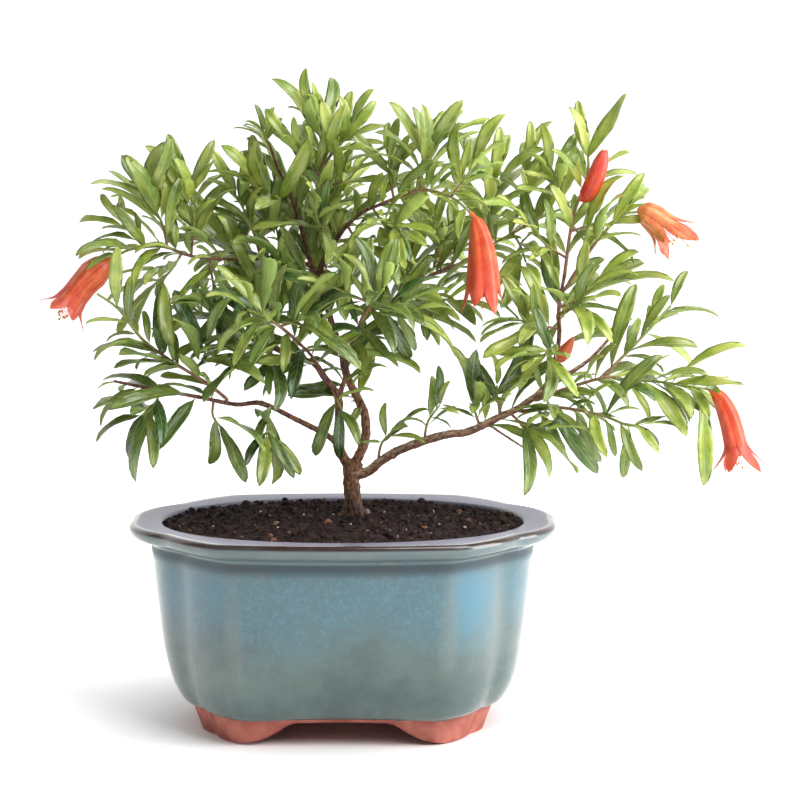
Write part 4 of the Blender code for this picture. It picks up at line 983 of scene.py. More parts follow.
# leafy stems: name, parent, where on the parent's points, leaf length, route
shoots = [
    ("spray_left_top", "left_top", 2, 22, [
        (-70, -10, 222), (-84, -14, 227), (-99, -18, 226), (-108, -20, 221)]),
    ("left_end", "spray_left_top", 2.6, 19, [(-103, -15, 238)]),
    ("left_crest", "spray_left_top", 1.9, 27, [(-92, -10, 250)]),
    ("left_upper", "spray_left_top", 1.1, 26, [(-72, -7, 255)]),
    ("left_hanging", "spray_left_top", 1.4, 28, [(-87, -18, 209)]),
    ("left_drop", "spray_left_top", 0.7, 30, [(-58, -18, 200)]),
    ("spray_left_rise", "left_top", 1.65, 24, [(-50, 0, 250)]),
    ("spray_left_inner", "left_top", 1.2, 25, [(-36, 2, 243)]),
    ("spray_left_front", "left_top", 1.5, 27, [(-42, -26, 205)]),
    ("spray_left_back", "left_top", 1.8, 26, [(-56, 22, 226)]),
    ("spray_leader_leaf", "leader", 6.4, 30, [(-38, -4, 252)]),
    ("spray_leader_tip", "leader", 9, 13, [(-37, 0, 280)]),
    ("spray_leader_back", "leader", 4.5, 26, [(-20, 28, 243)]),
    ("spray_leader_right", "leader", 5.2, 24, [(0, 14, 250)]),
    ("spray_leader_front", "leader", 3.4, 27, [(-27, -20, 214)]),
    ("spray_top", "top_shoot", 3, 24, [(-9, -8, 266), (-10, -6, 278), (-14, -5, 288)]),
    ("top_left", "spray_top", 0.6, 24, [(-22, -8, 272)]),
    ("top_right", "spray_top", 1.0, 26, [(4, -12, 280)]),
    ("top_low", "spray_top", 0.3, 25, [(6, -14, 262)]),
    ("spray_top_front", "top_shoot", 1.8, 26, [(-12, -27, 244)]),
    ("spray_arching", "arching", 3, 24, [(37, -22, 254), (51, -26, 251), (60, -28, 244)]),
    ("arch_rise", "spray_arching", 0.25, 24, [(22, -17, 268)]),
    ("arch_crest", "spray_arching", 1.0, 30, [(39, -21, 271)]),
    ("arch_far", "spray_arching", 2.0, 29, [(62, -23, 266)]),
    ("spray_arch_front", "arching", 2.6, 26, [(28, -38, 236)]),
    ("spray_arch_low", "arching", 1.7, 27, [(12, -27, 226)]),
    ("spray_diagonal_end", "diagonal", 4, 24, [(76, 26, 227), (96, 29, 238), (106, 30, 242)]),
    ("diagonal_crest", "spray_diagonal_end", 0.8, 28, [(73, 22, 256)]),
    ("diagonal_top", "spray_diagonal_end", 1.6, 21, [(90, 26, 266)]),
    ("diagonal_drop", "spray_diagonal_end", 1.3, 25, [(88, 16, 217)]),
    ("spray_diagonal_rise", "diagonal", 3.5, 22, [(43, 4, 240)]),
    ("spray_diagonal_inner", "diagonal", 2.0, 26, [(32, -6, 214)]),
    ("spray_diagonal_low", "diagonal", 2.7, 26, [(52, 4, 200)]),
    ("spray_diagonal_back", "diagonal", 3.8, 26, [(64, 46, 226)]),
    ("spray_right_top", "right_riser", 4, 24, [
        (109, 11, 233), (112, 12, 245), (117, 12, 259), (117, 12, 272)]),
    ("right_crest", "spray_right_top", 1.6, 24, [(100, 10, 262)]),
    ("right_side", "spray_right_top", 1.0, 26, [(127, 8, 236)]),
    ("right_left", "spray_right_top", 0.4, 23, [(90, 4, 234)]),
    ("spray_right_bloom", "right_riser", 3.6, 24, [(121, 4, 228), (133, 6, 240), (141, 7, 242)]),
    ("spray_right_long", "right_riser", 3.1, 27, [(121, 0, 209)]),
    ("spray_right_front", "right_riser", 2.8, 27, [(112, -20, 200)]),
    ("spray_right_inner", "right_riser", 2.2, 28, [(84, -12, 192)]),
    ("spray_right_low", "right_riser", 1.2, 26, [(94, -32, 176)]),
    ("spray_right_back", "right_riser", 2.5, 26, [(104, 26, 206)]),
    ("spray_right_far", "right_low", 7.5, 24, [
        (104, -21, 160), (124, -22, 166), (133, -22, 165), (150, -24, 164), (172, -28, 161)]),
    ("right_up", "spray_right_far", 2.0, 20, [(129, -19, 172), (141, -12, 183), (156, -4, 198)]),
    ("spray_right_under", "right_low", 7.0, 20, [
        (100, -23, 152), (121, -28, 149), (133, -33, 145), (139, -35, 145)]),
    ("spray_right_drop", "right_low", 6.6, 24, [(94, -28, 141)]),
    ("spray_right_dark", "right_low", 6.2, 20, [(73, -22, 162)]),
    ("spray_right_pair", "right_low", 5.4, 26, [(62, -15, 154)]),
    ("spray_right_twig", "right_low", 3.6, 16, [(46, -17, 152)]),
    ("spray_fork_twig", "right_low", 2.0, 17, [(27, -13, 142)]),
    ("spray_left_mid", "left_low", 4.3, 24, [
        (-64, -25, 164), (-79, -28, 174), (-93, -30, 185), (-104, -29, 199), (-114, -28, 206)]),
    ("left_mid_rise", "spray_left_mid", 1.4, 27, [(-63, -32, 184)]),
    ("spray_left_low_end", "left_low", 5.8, 26, [(-93, -36, 150)]),
    ("spray_left_low_hang", "left_low", 4.6, 28, [(-57, -27, 143)]),
    ("spray_left_low_front", "left_low", 2.8, 28, [(-35, -31, 140)]),
    ("spray_left_stem_mid", "left_stem", 6.4, 31, [(-46, -36, 178)]),
    ("spray_left_stem_end", "left_stem", 8, 30, [(-70, -24, 197)]),
    ("spray_left_stem_rise", "left_stem", 7.2, 27, [(-40, -12, 207)]),
    ("spray_stem_leaf", "left_stem", 3.6, 24, [(0, -20, 150)]),
    ("spray_back_left", "back_left", 2, 26, [(-46, 46, 216), (-62, 58, 222)]),
    ("back_left_side", "spray_back_left", 0.5, 26, [(-22, 50, 214)]),
    ("spray_back_right", "back_right", 2, 26, [(58, 52, 222), (72, 64, 226)]),
    ("back_right_side", "spray_back_right", 0.5, 26, [(32, 54, 226)]),
    ("spray_back_middle", "back_middle", 2, 26, [(-2, 50, 241), (4, 62, 250)]),
    ("back_middle_side", "spray_back_middle", 0.5, 26, [(-26, 44, 244)]),
    ("spray_front_left", "front_left", 2, 27, [(-32, -50, 196), (-42, -62, 202)]),
    ("front_left_side", "spray_front_left", 0.6, 27, [(-12, -52, 198)]),
    ("spray_front_middle", "front_middle", 2, 27, [(15, -45, 204), (20, -59, 211)]),
    ("front_middle_side", "spray_front_middle", 0.6, 27, [(30, -36, 198)]),
    ("front_middle_left", "spray_front_middle", 0.9, 27, [(-6, -46, 212)]),
]
# parts of the branches that stay in sight: stem, from and to where on its points; the solids' own leaves
# turn aside for the first two alone
bareParts = [
    ("leader", 3.4, 9), ("arching", 0.6, 3), ("right_low", 0.5, 8), ("left_low", 1, 7), ("diagonal", 2, 4),
]
# share of the length and of the width, from the leaf's foot to its tip
leafOutline = [
    (0.0, 0.09), (0.06, 0.16), (0.15, 0.5), (0.28, 0.82), (0.43, 0.96), (0.58, 1.0), (0.73, 0.95),
    (0.86, 0.77), (0.95, 0.46), (1.0, 0.0),
]
# further leaves straight on the branches: stem, share of its length where they start, leaf length
branchLeaves = [
    ("leader", 0.15, 27), ("left_top", 0.2, 27), ("diagonal", 0.3, 27), ("arching", 0.25, 27),
    ("left_stem", 0.55, 29), ("left_low", 0.55, 28), ("right_riser", 0.2, 26), ("top_shoot", 0.3, 26),
    ("back_left", 0.2, 28), ("back_right", 0.2, 28), ("back_middle", 0.2, 28), ("front_left", 0.3, 28),
    ("front_middle", 0.3, 28), ("left_fork", 0.2, 25), ("middle_stem", 0.45, 25), ("right_low", 0.62, 24),
]
# arch over the chord, waviness, twist, curl of the tip, depth of the channel, sideways sway
leafKinds = [
    (0.02, 0.012, 0.14, 0.010, 0.055, 0.30), (0.035, 0.018, -0.18, 0.030, 0.040, -0.45),
    (0.05, 0.012, 0.10, 0.045, 0.065, 0.15), (0.065, 0.020, -0.12, 0.020, 0.050, 0.50),
    (0.08, 0.012, 0.20, 0.050, 0.045, -0.25), (0.095, 0.018, -0.10, 0.065, 0.060, 0.40),
    (0.115, 0.014, 0.16, 0.040, 0.050, -0.50), (0.14, 0.018, -0.14, 0.070, 0.055, 0.20),
]


def leafShape(name, arch, wave, twist, curl, channel, sway):
    # a closed blade along x, one unit long and one wide, with an upper and a lower skin
    across = (-1.0, -0.52, 0.0, 0.52, 1.0)
    thickness = 0.0055
    edge = 0.0008
    points = []
    places = []
    rows = []
    for t, width in leafOutline:
        rise = 4 * arch * t * (1 - t) - curl * max(0.0, (t - 0.75) / 0.25) ** 2
        upper = []
        lower = []
        for v in across if 0.0 < t < 1.0 else (0.0,):
            y = v * width / 2 + sway * math.sin(math.pi * t) * t
            z = rise + channel * abs(v) ** 1.4 * width + wave * math.sin(11 * t + 2 * v) * abs(v)
            z += twist * (t - 0.5) * v * width / 2
            half = thickness * (1 - abs(v) ** 2) + edge
            # the two skins share their points round the edge
            if abs(v) == 1.0 or t in (0.0, 1.0):
                half = 0.0
            for skin, height in ((upper, z + half), (lower, z - half)):
                if half or skin is upper:
                    points.append((t, y, height))
                    places.append((t, v))
                skin.append(len(points) - 1)
        rows.append((upper, lower))
    faces = []
    under = []
    for (upper, lower), (nextUpper, nextLower) in zip(rows, rows[1:]):
        for skin, nextSkin, isUnder in ((upper, nextUpper, False), (lower, nextLower, True)):
            count = max(len(skin), len(nextSkin))
            for i in range(count - 1):
                corners = [skin[min(i, len(skin) - 1)], nextSkin[min(i, len(nextSkin) - 1)],
                           nextSkin[min(i + 1, len(nextSkin) - 1)], skin[min(i + 1, len(skin) - 1)]]
                corners = list(dict.fromkeys(corners))
                faces.append(tuple(corners if isUnder else reversed(corners)))
                under.append(float(isUnder))
    mesh = bpy.data.meshes.new(name)
    mesh.from_pydata(points, [], faces)
    mark(mesh, "under", under, "FLOAT", "FACE")
    uv = mesh.uv_layers.new(name="blade")
    for loop in mesh.loops:
        t, v = places[loop.vertex_index]
        uv.data[loop.index].uv = (t, v * 0.5 + 0.5)
    mesh.shade_smooth()
    return bpy.data.objects.new(name, mesh)


# leaf tints; deep and bright are mixed by each leaf's tone, which holds painted light and shade
leafTints = {
    "deep": (colour(24, 52, 18), colour(56, 90, 32)), "bright": (colour(134, 160, 50), colour(188, 198, 88)),
    "cool": colour(22, 92, 46), "veins": colour(196, 214, 130), "midrib": colour(190, 208, 124),
    "margin": colour(202, 204, 120), "fleck": colour(206, 196, 120), "under": colour(154, 178, 98),
    "twig": (colour(116, 74, 60), colour(158, 116, 92)),
    "greenTwig": (colour(122, 140, 66), colour(156, 166, 88)),
}


def leafFinish():
    look = Finish("leafGreen", Specular_IOR_Level=0.5, Coat_Roughness=0.2)
    tone = look.named("tone")
    under = look.named("under")
    uv = look.add("ShaderNodeUVMap", {"uv_map": "blade"})
    along, across, _ = look.axes(uv)
    off = ((across - 0.5) * 2).size()
    at = look.spot()
    patch = look.noise(at, 0.09, 3.0)
    fine = look.noise(at, 0.8, 2.0)
    # the tone mixes a deep and a bright green: painted light and shade by where each leaf stands and faces,
    # with its own random tone
    deep = look.blend(patch.ramp(0.35, 0.65), *leafTints["deep"])
    bright = look.blend(patch.ramp(0.35, 0.65), *leafTints["bright"])
    body = look.blend(tone, deep, bright)
    body = look.blend(look.named("cool"), body, leafTints["cool"])
    veins = (((along * 46) - (off * 9)).wave() * 0.5 + 0.5) ** 6.0 * off.ramp(0.05, 0.2)
    body = look.blend(veins * 0.14, body, leafTints["veins"])
    body = look.blend((1 - off.ramp(0.02, 0.1)) * 0.42, body, leafTints["midrib"])
    body = look.blend(off.ramp(0.86, 1.0) * 0.4, body, leafTints["margin"])
    body = look.blend(fine.ramp(0.66, 0.8) * 0.25, body, leafTints["fleck"])
    body = look.blend(under * 0.45, body, leafTints["under"])
    look.set(Base_Color=body, Roughness=(0.36 + fine * 0.16 + under * 0.2))
    look.set(Coat_Weight=(1 - under) * 0.75)
    look.bump(1 - off.ramp(0.02, 0.16) + veins * 0.35, 0.35, 0.0003)
    return look.material


def twigFinish():
    look = Finish("twig", Specular_IOR_Level=0.4)
    grain = look.noise(look.spot(), 1.1, 3.0)
    tip = look.named("tip")
    brown = look.blend(grain.ramp(0.35, 0.65), *leafTints["twig"])
    green = look.blend(grain.ramp(0.35, 0.65), *leafTints["greenTwig"])
    look.set(Base_Color=look.blend(tip.ramp(0.35, 0.9), brown, green), Roughness=(0.45 + grain * 0.2))
    return look.material


def sprayGrowth():
    # tubes along the carrier's lines and a leaf on each of its loose points
    grow = Growth("sprayGrowth")
    shapes = grow.input("Shapes", "Collection")
    sides = grow.input("Sides", "Int")
    leafLook = grow.input("Leaf Finish", "Material")
    stemLook = grow.input("Stem Finish", "Material")
    carrier = grow.geometry()
    isLeaf = grow.attribute("isLeaf", "BOOLEAN")
    notLeaf = grow.add("FunctionNodeBooleanMath", {"operation": "NOT"}, {0: isLeaf})
    lines = grow.add("GeometryNodeMeshToCurve", None, {"Mesh": carrier, "Selection": notLeaf})
    stems = tubesAlong(grow, lines, sides)
    stems = grow.add("GeometryNodeSetShadeSmooth", None, {"Geometry": stems})
    stems = grow.add("GeometryNodeSetMaterial", None, {"Geometry": stems, "Material": stemLook})
    models = grow.add("GeometryNodeCollectionInfo", None, {
        "Collection": shapes, "Separate Children": True, "Reset Children": True})
    leaves = grow.add("GeometryNodeInstanceOnPoints", None, {
        "Points": carrier, "Selection": isLeaf, "Instance": models, "Pick Instance": True,
        "Instance Index": grow.attribute("kind", "INT"), "Rotation": grow.attribute("turn", "FLOAT_VECTOR"),
        "Scale": grow.attribute("size", "FLOAT_VECTOR")})
    leaves = grow.add("GeometryNodeRealizeInstances", None, {"Geometry": leaves})
    leaves = grow.add("GeometryNodeSetMaterial", None, {"Geometry": leaves, "Material": leafLook})
    joined = grow.add("GeometryNodeJoinGeometry")
    grow.feed(joined.node.inputs[0], stems)
    grow.feed(joined.node.inputs[0], leaves)
    grow.finish(joined)
    return grow


class Leaf:
    # foot, tip and upper side of a blade, in layout millimetres
    def __init__(self, foot, tip, up, width, arch):
        self.foot = foot
        self.tip = tip
        chord = tip - foot
        self.length = chord.length
        self.up = (up - chord * (up.dot(chord) / chord.length_squared)).normalized()
        self.side = self.up.cross(chord.normalized())
        self.width = width
        self.arch = arch
        self.tone = 0.5
        self.cool = 0.0

    def turn(self):
        chord = (self.tip - self.foot).normalized()
        return Matrix((chord, self.side, self.up)).transposed().to_euler()

    def kind(self):
        return min(range(len(leafKinds)), key=lambda i: abs(leafKinds[i][0] - self.arch))

    def outline(self, margin):
        # a coarse blade for the test against its neighbours
        points = []
        for t, share in ((0.14, 0.7), (0.45, 1.0), (0.8, 0.8), (1.0, 0.1)):
            middle = self.foot + (self.tip - self.foot) * t
            middle += self.up * (4 * self.arch * self.length * t * (1 - t))
            half = self.side * (self.width / 2 * share + margin)
            lift = self.up * margin
            points += [middle + half + lift, middle - half + lift, middle - lift]
        return points, stripFaces(4, 3)


def readLeaves(node):
    # the blades of a solid spray, found again from the three corners round each tip and the three below them
    upperPlace, lowerPlace = spraySizes["bladeRings"]
    upperRise = 4 * upperPlace * (1 - upperPlace)
    lowerRise = 4 * lowerPlace * (1 - lowerPlace)
    shape = bmesh.new()
    shape.from_mesh(frame["nodes"][node].data)
    bmesh.ops.remove_doubles(shape, verts=shape.verts, dist=0.000002)
    places = {vertex: inLayout(vertex.co) for vertex in shape.verts}

    def neighbours(vertex):
        return {edge.other_vert(vertex) for edge in vertex.link_edges}

    def splitRing(corners):
        # the two edges and the keel of a ring of three
        pairs = [(a, b) for i, a in enumerate(corners) for b in corners[i + 1:]]
        a, b = max(pairs, key=lambda pair: (places[pair[0]] - places[pair[1]]).length)
        return a, b, next(c for c in corners if c not in (a, b))

    leaves = []
    for tip in shape.verts:
        near = list(neighbours(tip))
        if len(near) != 3 or min((places[v] - places[tip]).length for v in near) < 1.6:
            continue
        a, b, keel = splitRing(near)
        more = [v for v in neighbours(keel) if v not in (tip, a, b)]
        if len(more) != 3:
            continue
        low, high, _ = splitRing(more)
        middle = (places[a] + places[b]) / 2
        up = (middle - places[keel]).normalized()
        lowMiddle = (places[low] + places[high]) / 2
        upperWidth = (places[a] - places[b]).length
        width = (places[low] - places[high]).length
        centre = middle - up * (spraySizes["bladeFold"] * upperWidth / 2)
        lowCentre = lowMiddle - up * (spraySizes["bladeFold"] * width / 2)
        # each ring stands at its share of the chord, lifted by the arch there
        end = places[tip]
        ratio = lowerRise / upperRise
        chord = ((end - lowCentre) - (end - centre) * ratio) / (1 - lowerPlace - (1 - upperPlace) * ratio)
        rise = ((end - centre) - chord * (1 - upperPlace)) / -upperRise
        if not 4 < chord.length < 60 or upperWidth > width * 1.3:
            continue
        foot = end - chord
        tip = foot + chord * spraySizes["longer"]
        width = min(width * spraySizes["wider"], spraySizes["widest"])
        leaves.append(Leaf(foot, tip, up, width, rise.length / chord.length))
    shape.free()
    return leaves


# what makes a leaf bright, as painted light and shade: how far it is from the crown's middle, how high, how
# it faces, how far right, with painted shade low on the left; spread is the leaf's own random tone
leafLight = {
    "middle": (15, 200), "reach": (150, 95), "low": 150, "height": 130,
    "base": 0.22, "off": 0.32, "high": 0.46, "facing": 0.12, "right": 0.14,
    "shaded": 0.1, "shadedBelow": 205, "spread": (-0.42, 0.36), "cool": (-1.0, 0.85),
}


def leafToneWithPaintedLight(leaf, draw):
    light = leafLight
    middle = (leaf.foot + leaf.tip) / 2
    across = (middle.x - light["middle"][0]) / light["reach"][0]
    off = Vector((across, (middle.z - light["middle"][1]) / light["reach"][1])).length
    high = (middle.z - light["low"]) / light["height"]
    tone = light["base"] + light["off"] * off + light["high"] * high + light["facing"] * leaf.up.z
    tone += light["right"] * min(1.0, max(-0.4, middle.x / 100))
    if middle.x < 0 and middle.z < light["shadedBelow"]:
        tone -= light["shaded"]
    return min(max(tone + draw.uniform(*light["spread"]), 0.0), 1.0)


class Neighbours:
    # search trees of what is in place, with a ball round each
    def __init__(self):
        self.solids = []

    def ball(self, points):
        centre = sum(points, Vector()) / len(points)
        return centre, max((point - centre).length for point in points)

    def add(self, points, faces):
        self.solids.append((*self.ball(points), BVHTree.FromPolygons(points, faces)))

    def touches(self, points, faces):
        centre, reach = self.ball(points)
        near = [tree for other, far, tree in self.solids if (centre - other).length <= reach + far]
        tree = BVHTree.FromPolygons(points, faces) if near else None
        return any(tree.overlap(other) for other in near)


def shootRoute(name, parentName, at, points):
    parent = routes[parentName]
    sameNode = parent.node != "trunk_and_branches"
    node = parent.node if sameNode else name
    points = [Vector(point) for point in points]
    root, outward, radius = parent.at(at)
    if at >= len(parent.marks) - 1:
        root = root if sameNode else root + outward * spraySizes["gap"]
    else:
        away = points[0] - root
        outward = (away - outward * away.dot(outward)).normalized()
        root = root if sameNode else root + outward * (radius + spraySizes["gap"])
    stub = root + outward * spraySizes["stub"]
    if len(points) > 1:
        marks = [0] + list(range(2, len(points) + 2))
        return Route(node, [root, stub] + points, spraySizes["longRadii"], marks)
    # a shoot with a tip alone: of the bends it may have, the one that lies on its solid
    tip = points[0]
    span = tip - root
    side = span.orthogonal().normalized()
    shifts = [Vector()]
    for reach in (0.2, 0.4, 0.6):
        for turn in range(8):
            shifts.append(Matrix.Rotation(turn * math.tau / 8, 3, span) @ side * (reach * span.length))
    solid = solidTree(node)
    bends = []
    for shift in shifts:
        control = root + outward * (0.32 * span.length) + span * 0.22 + shift
        middle = root * 0.25 + control * 0.5 + tip * 0.25
        probes = [middle, (middle + tip) / 2, (middle + stub) / 2]
        bends.append((sum(solid.find_nearest(probe)[3] for probe in probes), len(bends), middle))
    middle = min(bends)[2]
    return Route(node, [root, stub, middle, tip], spraySizes["sideRadii"], [0, 3])


solidTrees = {}
flowerNodes = [node for node in frame["nodes"] if node.startswith(("bloom", "bud"))]


def solidMesh(node):
    mesh = frame["nodes"][node].data
    return [inLayout(vertex.co) for vertex in mesh.vertices], [tuple(face.vertices) for face in mesh.polygons]


def solidTree(node):
    if node not in solidTrees:
        solidTrees[node] = BVHTree.FromPolygons(*solidMesh(node))
    return solidTrees[node]


def openViews(parts):
    # what further leaves mustn't hide from the front: boxes of the flowers, and parts of the branches
    boxes = [[inLayout(corner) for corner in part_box(node)] for node in flowerNodes]
    lines = []
    for stem, first, last in parts:
        line = [routes[stem].at(first + (last - first) * i / 8)[0] for i in range(9)]
        lines += list(zip(line, line[1:]))
    return boxes, lines


def hidesSomething(leaf, boxes, lines):
    tilt = Matrix.Rotation(math.radians(spraySizes["seenFrom"]), 3, "X")
    for share in spraySizes["sightShares"]:
        place = leaf.foot + (leaf.tip - leaf.foot) * share
        for low, high in boxes:
            inside = low.x - 1 < place.x < high.x + 1 and low.z - 1 < place.z < high.z - 4
            if inside and place.y < high.y:
                return True
        place = tilt @ place
        for start, end in lines:
            start = tilt @ start
            step = tilt @ end - start
            along = (place.x - start.x) * step.x + (place.z - start.z) * step.z
            along /= step.x ** 2 + step.z ** 2
            near = start + step * min(max(along, 0.0), 1.0)
            apart = math.hypot(place.x - near.x, place.z - near.z)
            # the foot may stand before its own branch
            isClear = share <= spraySizes["sightShares"][0] or place.y >= near.y
            if not isClear and apart < spraySizes["sightMargin"]:
                return True
    return False


def swungAside(leaf, lines, around):
    # a leaf that hides a bare part from the front turns aside where there's room
    if not hidesSomething(leaf, [], lines):
        return leaf
    for turn in spraySizes["swings"]:
        swing = Matrix.Rotation(math.radians(turn), 3, "Y")
        tip = leaf.foot + swing @ (leaf.tip - leaf.foot)
        moved = Leaf(leaf.foot, tip, swing @ leaf.up, leaf.width, leaf.arch)
        outline = moved.outline(spraySizes["swingMargin"])
        if not hidesSomething(moved, [], lines) and not around.touches(*outline):
            return moved
    return leaf


# how densely shoots are leaved, by where they end, as shares of the usual
leafDensity = {
    "rightFrom": 60, "rightTopFrom": 195, "rightTop": 0.45, "rightLow": 1.1,
    "lowBelow": 175, "leftBelow": -20, "middleLow": 0.62, "leftLow": 0.9,
}


def densityAt(end):
    share = 1.0
    if end.x > leafDensity["rightFrom"]:
        share = leafDensity["rightTop" if end.z > leafDensity["rightTopFrom"] else "rightLow"]
    elif end.z < leafDensity["lowBelow"]:
        share = leafDensity["middleLow" if end.x > leafDensity["leftBelow"] else "leftLow"]
    return spraySizes["pairs"] * share


def moreLeaves(name, route, size, around, views, start=0.1):
    # opposite pairs between those of the solids, each where it touches nothing
    draw = random.Random(f"{spraySizes['seed']} {name}")
    found = []
    pairs = max(1, round(route.length() * (1 - start) * densityAt(route.points[-1])))
    for pair in range(pairs):
        share = start + (1 - start) * (pair + draw.uniform(0.2, 0.8)) / pairs
        point, direction, radius = route.along(min(share, 0.99))
        first = draw.uniform(0, math.tau)
        for half in (0, 1):
            length = size * draw.uniform(*spraySizes["sizes"])
            for _ in range(spraySizes["tries"]):
                turn = first + half * math.pi + draw.uniform(-spraySizes["turn"], spraySizes["turn"])
                opening = math.radians(draw.uniform(*spraySizes["opening"]))
                side = Matrix.Rotation(turn, 3, direction) @ direction.orthogonal().normalized()
                way = direction * math.cos(opening) + side * math.sin(opening)
                droop = spraySizes["droop"] if point.z < spraySizes["droopBelow"] else 0.0
                way = (way + Vector((0.0, 0.0, draw.uniform(-0.3, 0.4) - droop))).normalized()
                up = Vector((draw.uniform(-0.5, 0.5), draw.uniform(-0.9, 0.1), 1.0))
                if abs(way.z) > 0.75:
                    up += Vector((0.0, -1.0, 0.0))
                width = min(length * spraySizes["aspect"], spraySizes["widest"])
                foot = point + side * radius * 0.6
                leaf = Leaf(foot, foot + way * length, up, width, draw.uniform(0.02, 0.13))
                outline = leaf.outline(spraySizes["clearance"])
                inEdge = leaf.tip.x > spraySizes["leftEdge"] or leaf.tip.z > spraySizes["leftEdgeBelow"]
                inside = leaf.tip.z > spraySizes["lowest"] and inEdge
                if inside and not hidesSomething(leaf, *views) and not around.touches(*outline):
                    around.add(*outline)
                    found.append(leaf)
                    break
                length *= spraySizes["shrink"]
    return found


def sprayCarrier(node, lines, leaves):
    # lines for the stems and a loose point for each leaf
    mesh = linesMesh(node, lines)
    start = len(mesh.vertices)
    mesh.vertices.add(len(leaves))
    tips = []
    for line in lines:
        tips += [i / (len(line) - 1) for i in range(len(line))]
    for i, leaf in enumerate(leaves, start):
        mesh.vertices[i].co = inFrame(leaf.foot)
    sizes = [(leaf.length * mm, leaf.width * mm, leaf.length * mm) for leaf in leaves]
    mark(mesh, "isLeaf", [False] * start + [True] * len(leaves), "BOOLEAN")
    mark(mesh, "kind", [0] * start + [leaf.kind() for leaf in leaves], "INT")
    mark(mesh, "tone", [0.0] * start + [leaf.tone for leaf in leaves])
    mark(mesh, "cool", [0.0] * start + [leaf.cool for leaf in leaves])
    mark(mesh, "tip", tips + [0.0] * len(leaves))
    mark(mesh, "turn", [(0, 0, 0)] * start + [leaf.turn() for leaf in leaves], "FLOAT_VECTOR")
    mark(mesh, "size", [(0, 0, 0)] * start + sizes, "FLOAT_VECTOR")
    return carrierOf(node, mesh)


def makeSprays():
    around = Neighbours()
    stems = {}
    for name, parent, at, size, points in shoots:
        route = shootRoute(name, parent, at, points)
        routes[name] = route
        stems.setdefault(route.node, []).append((name, route, size))
    leaves = {node: readLeaves(node) for node in stems}
    print("leaves read from the solids:", sum(len(found) for found in leaves.values()))
    for node in flowerNodes:
        around.add(*solidMesh(node))
    _, shownStems = openViews(bareParts[:2])
    for found in leaves.values():
        for i, leaf in enumerate(found):
            found[i] = swungAside(leaf, shownStems, around)
            around.add(*found[i].outline(spraySizes["swingMargin"]))
    views = openViews(bareParts)
    for node, members in stems.items():
        for name, route, size in members:
            if name not in spraySizes["plain"]:
                leaves[node] += moreLeaves(name, route, size, around, views)
    stems["leaves_on_branches"] = []
    leaves["leaves_on_branches"] = []
    for name, start, size in branchLeaves:
        leaves["leaves_on_branches"] += moreLeaves(name, routes[name], size, around, views, start)
    print("leaves in all:", sum(len(found) for found in leaves.values()))
    shapes = bpy.data.collections.new("leafShapes")
    for i, kind in enumerate(leafKinds):
        shapes.objects.link(leafShape(f"leafShape{i}", *kind))
    leafLook = leafFinish()
    stemLook = twigFinish()
    growth = sprayGrowth()
    faces = 0
    for node, members in stems.items():
        draw = random.Random(node)
        for leaf in leaves[node]:
            leaf.tone = leafToneWithPaintedLight(leaf, draw)
            leaf.cool = max(0.0, draw.uniform(*leafLight["cool"])) * (1 - leaf.tone)
        lines = [route.smooth(spraySizes["stemSteps"]) for _, route, _ in members]
        carrier = sprayCarrier(node, lines, leaves[node])
        growth.apply(carrier, Shapes=shapes, Sides=spraySizes["stemSides"], **{
            "Leaf Finish": leafLook, "Stem Finish": stemLook})
        mesh = settled(carrier)
        faces += len(mesh.polygons)
        solids = [node] if node in frame["nodes"] else []
        addPiece(node.replace("spray_", "leafy_"), mesh, solids)
    dropCollection(shapes)
    print("sprays made,", faces, "faces")


makeSprays()

# Flowers: pleated waxy cups that open in pointed lobes, and closed buds

bloomSizes = {
    "columns": 14, "rows": 30, "skin": 0.55, "cupFloor": 0.34, "seed": 6,
    "filament": 0.16, "filamentSteps": 4, "filamentSides": 5, "anther": (1.5, 0.9),
}
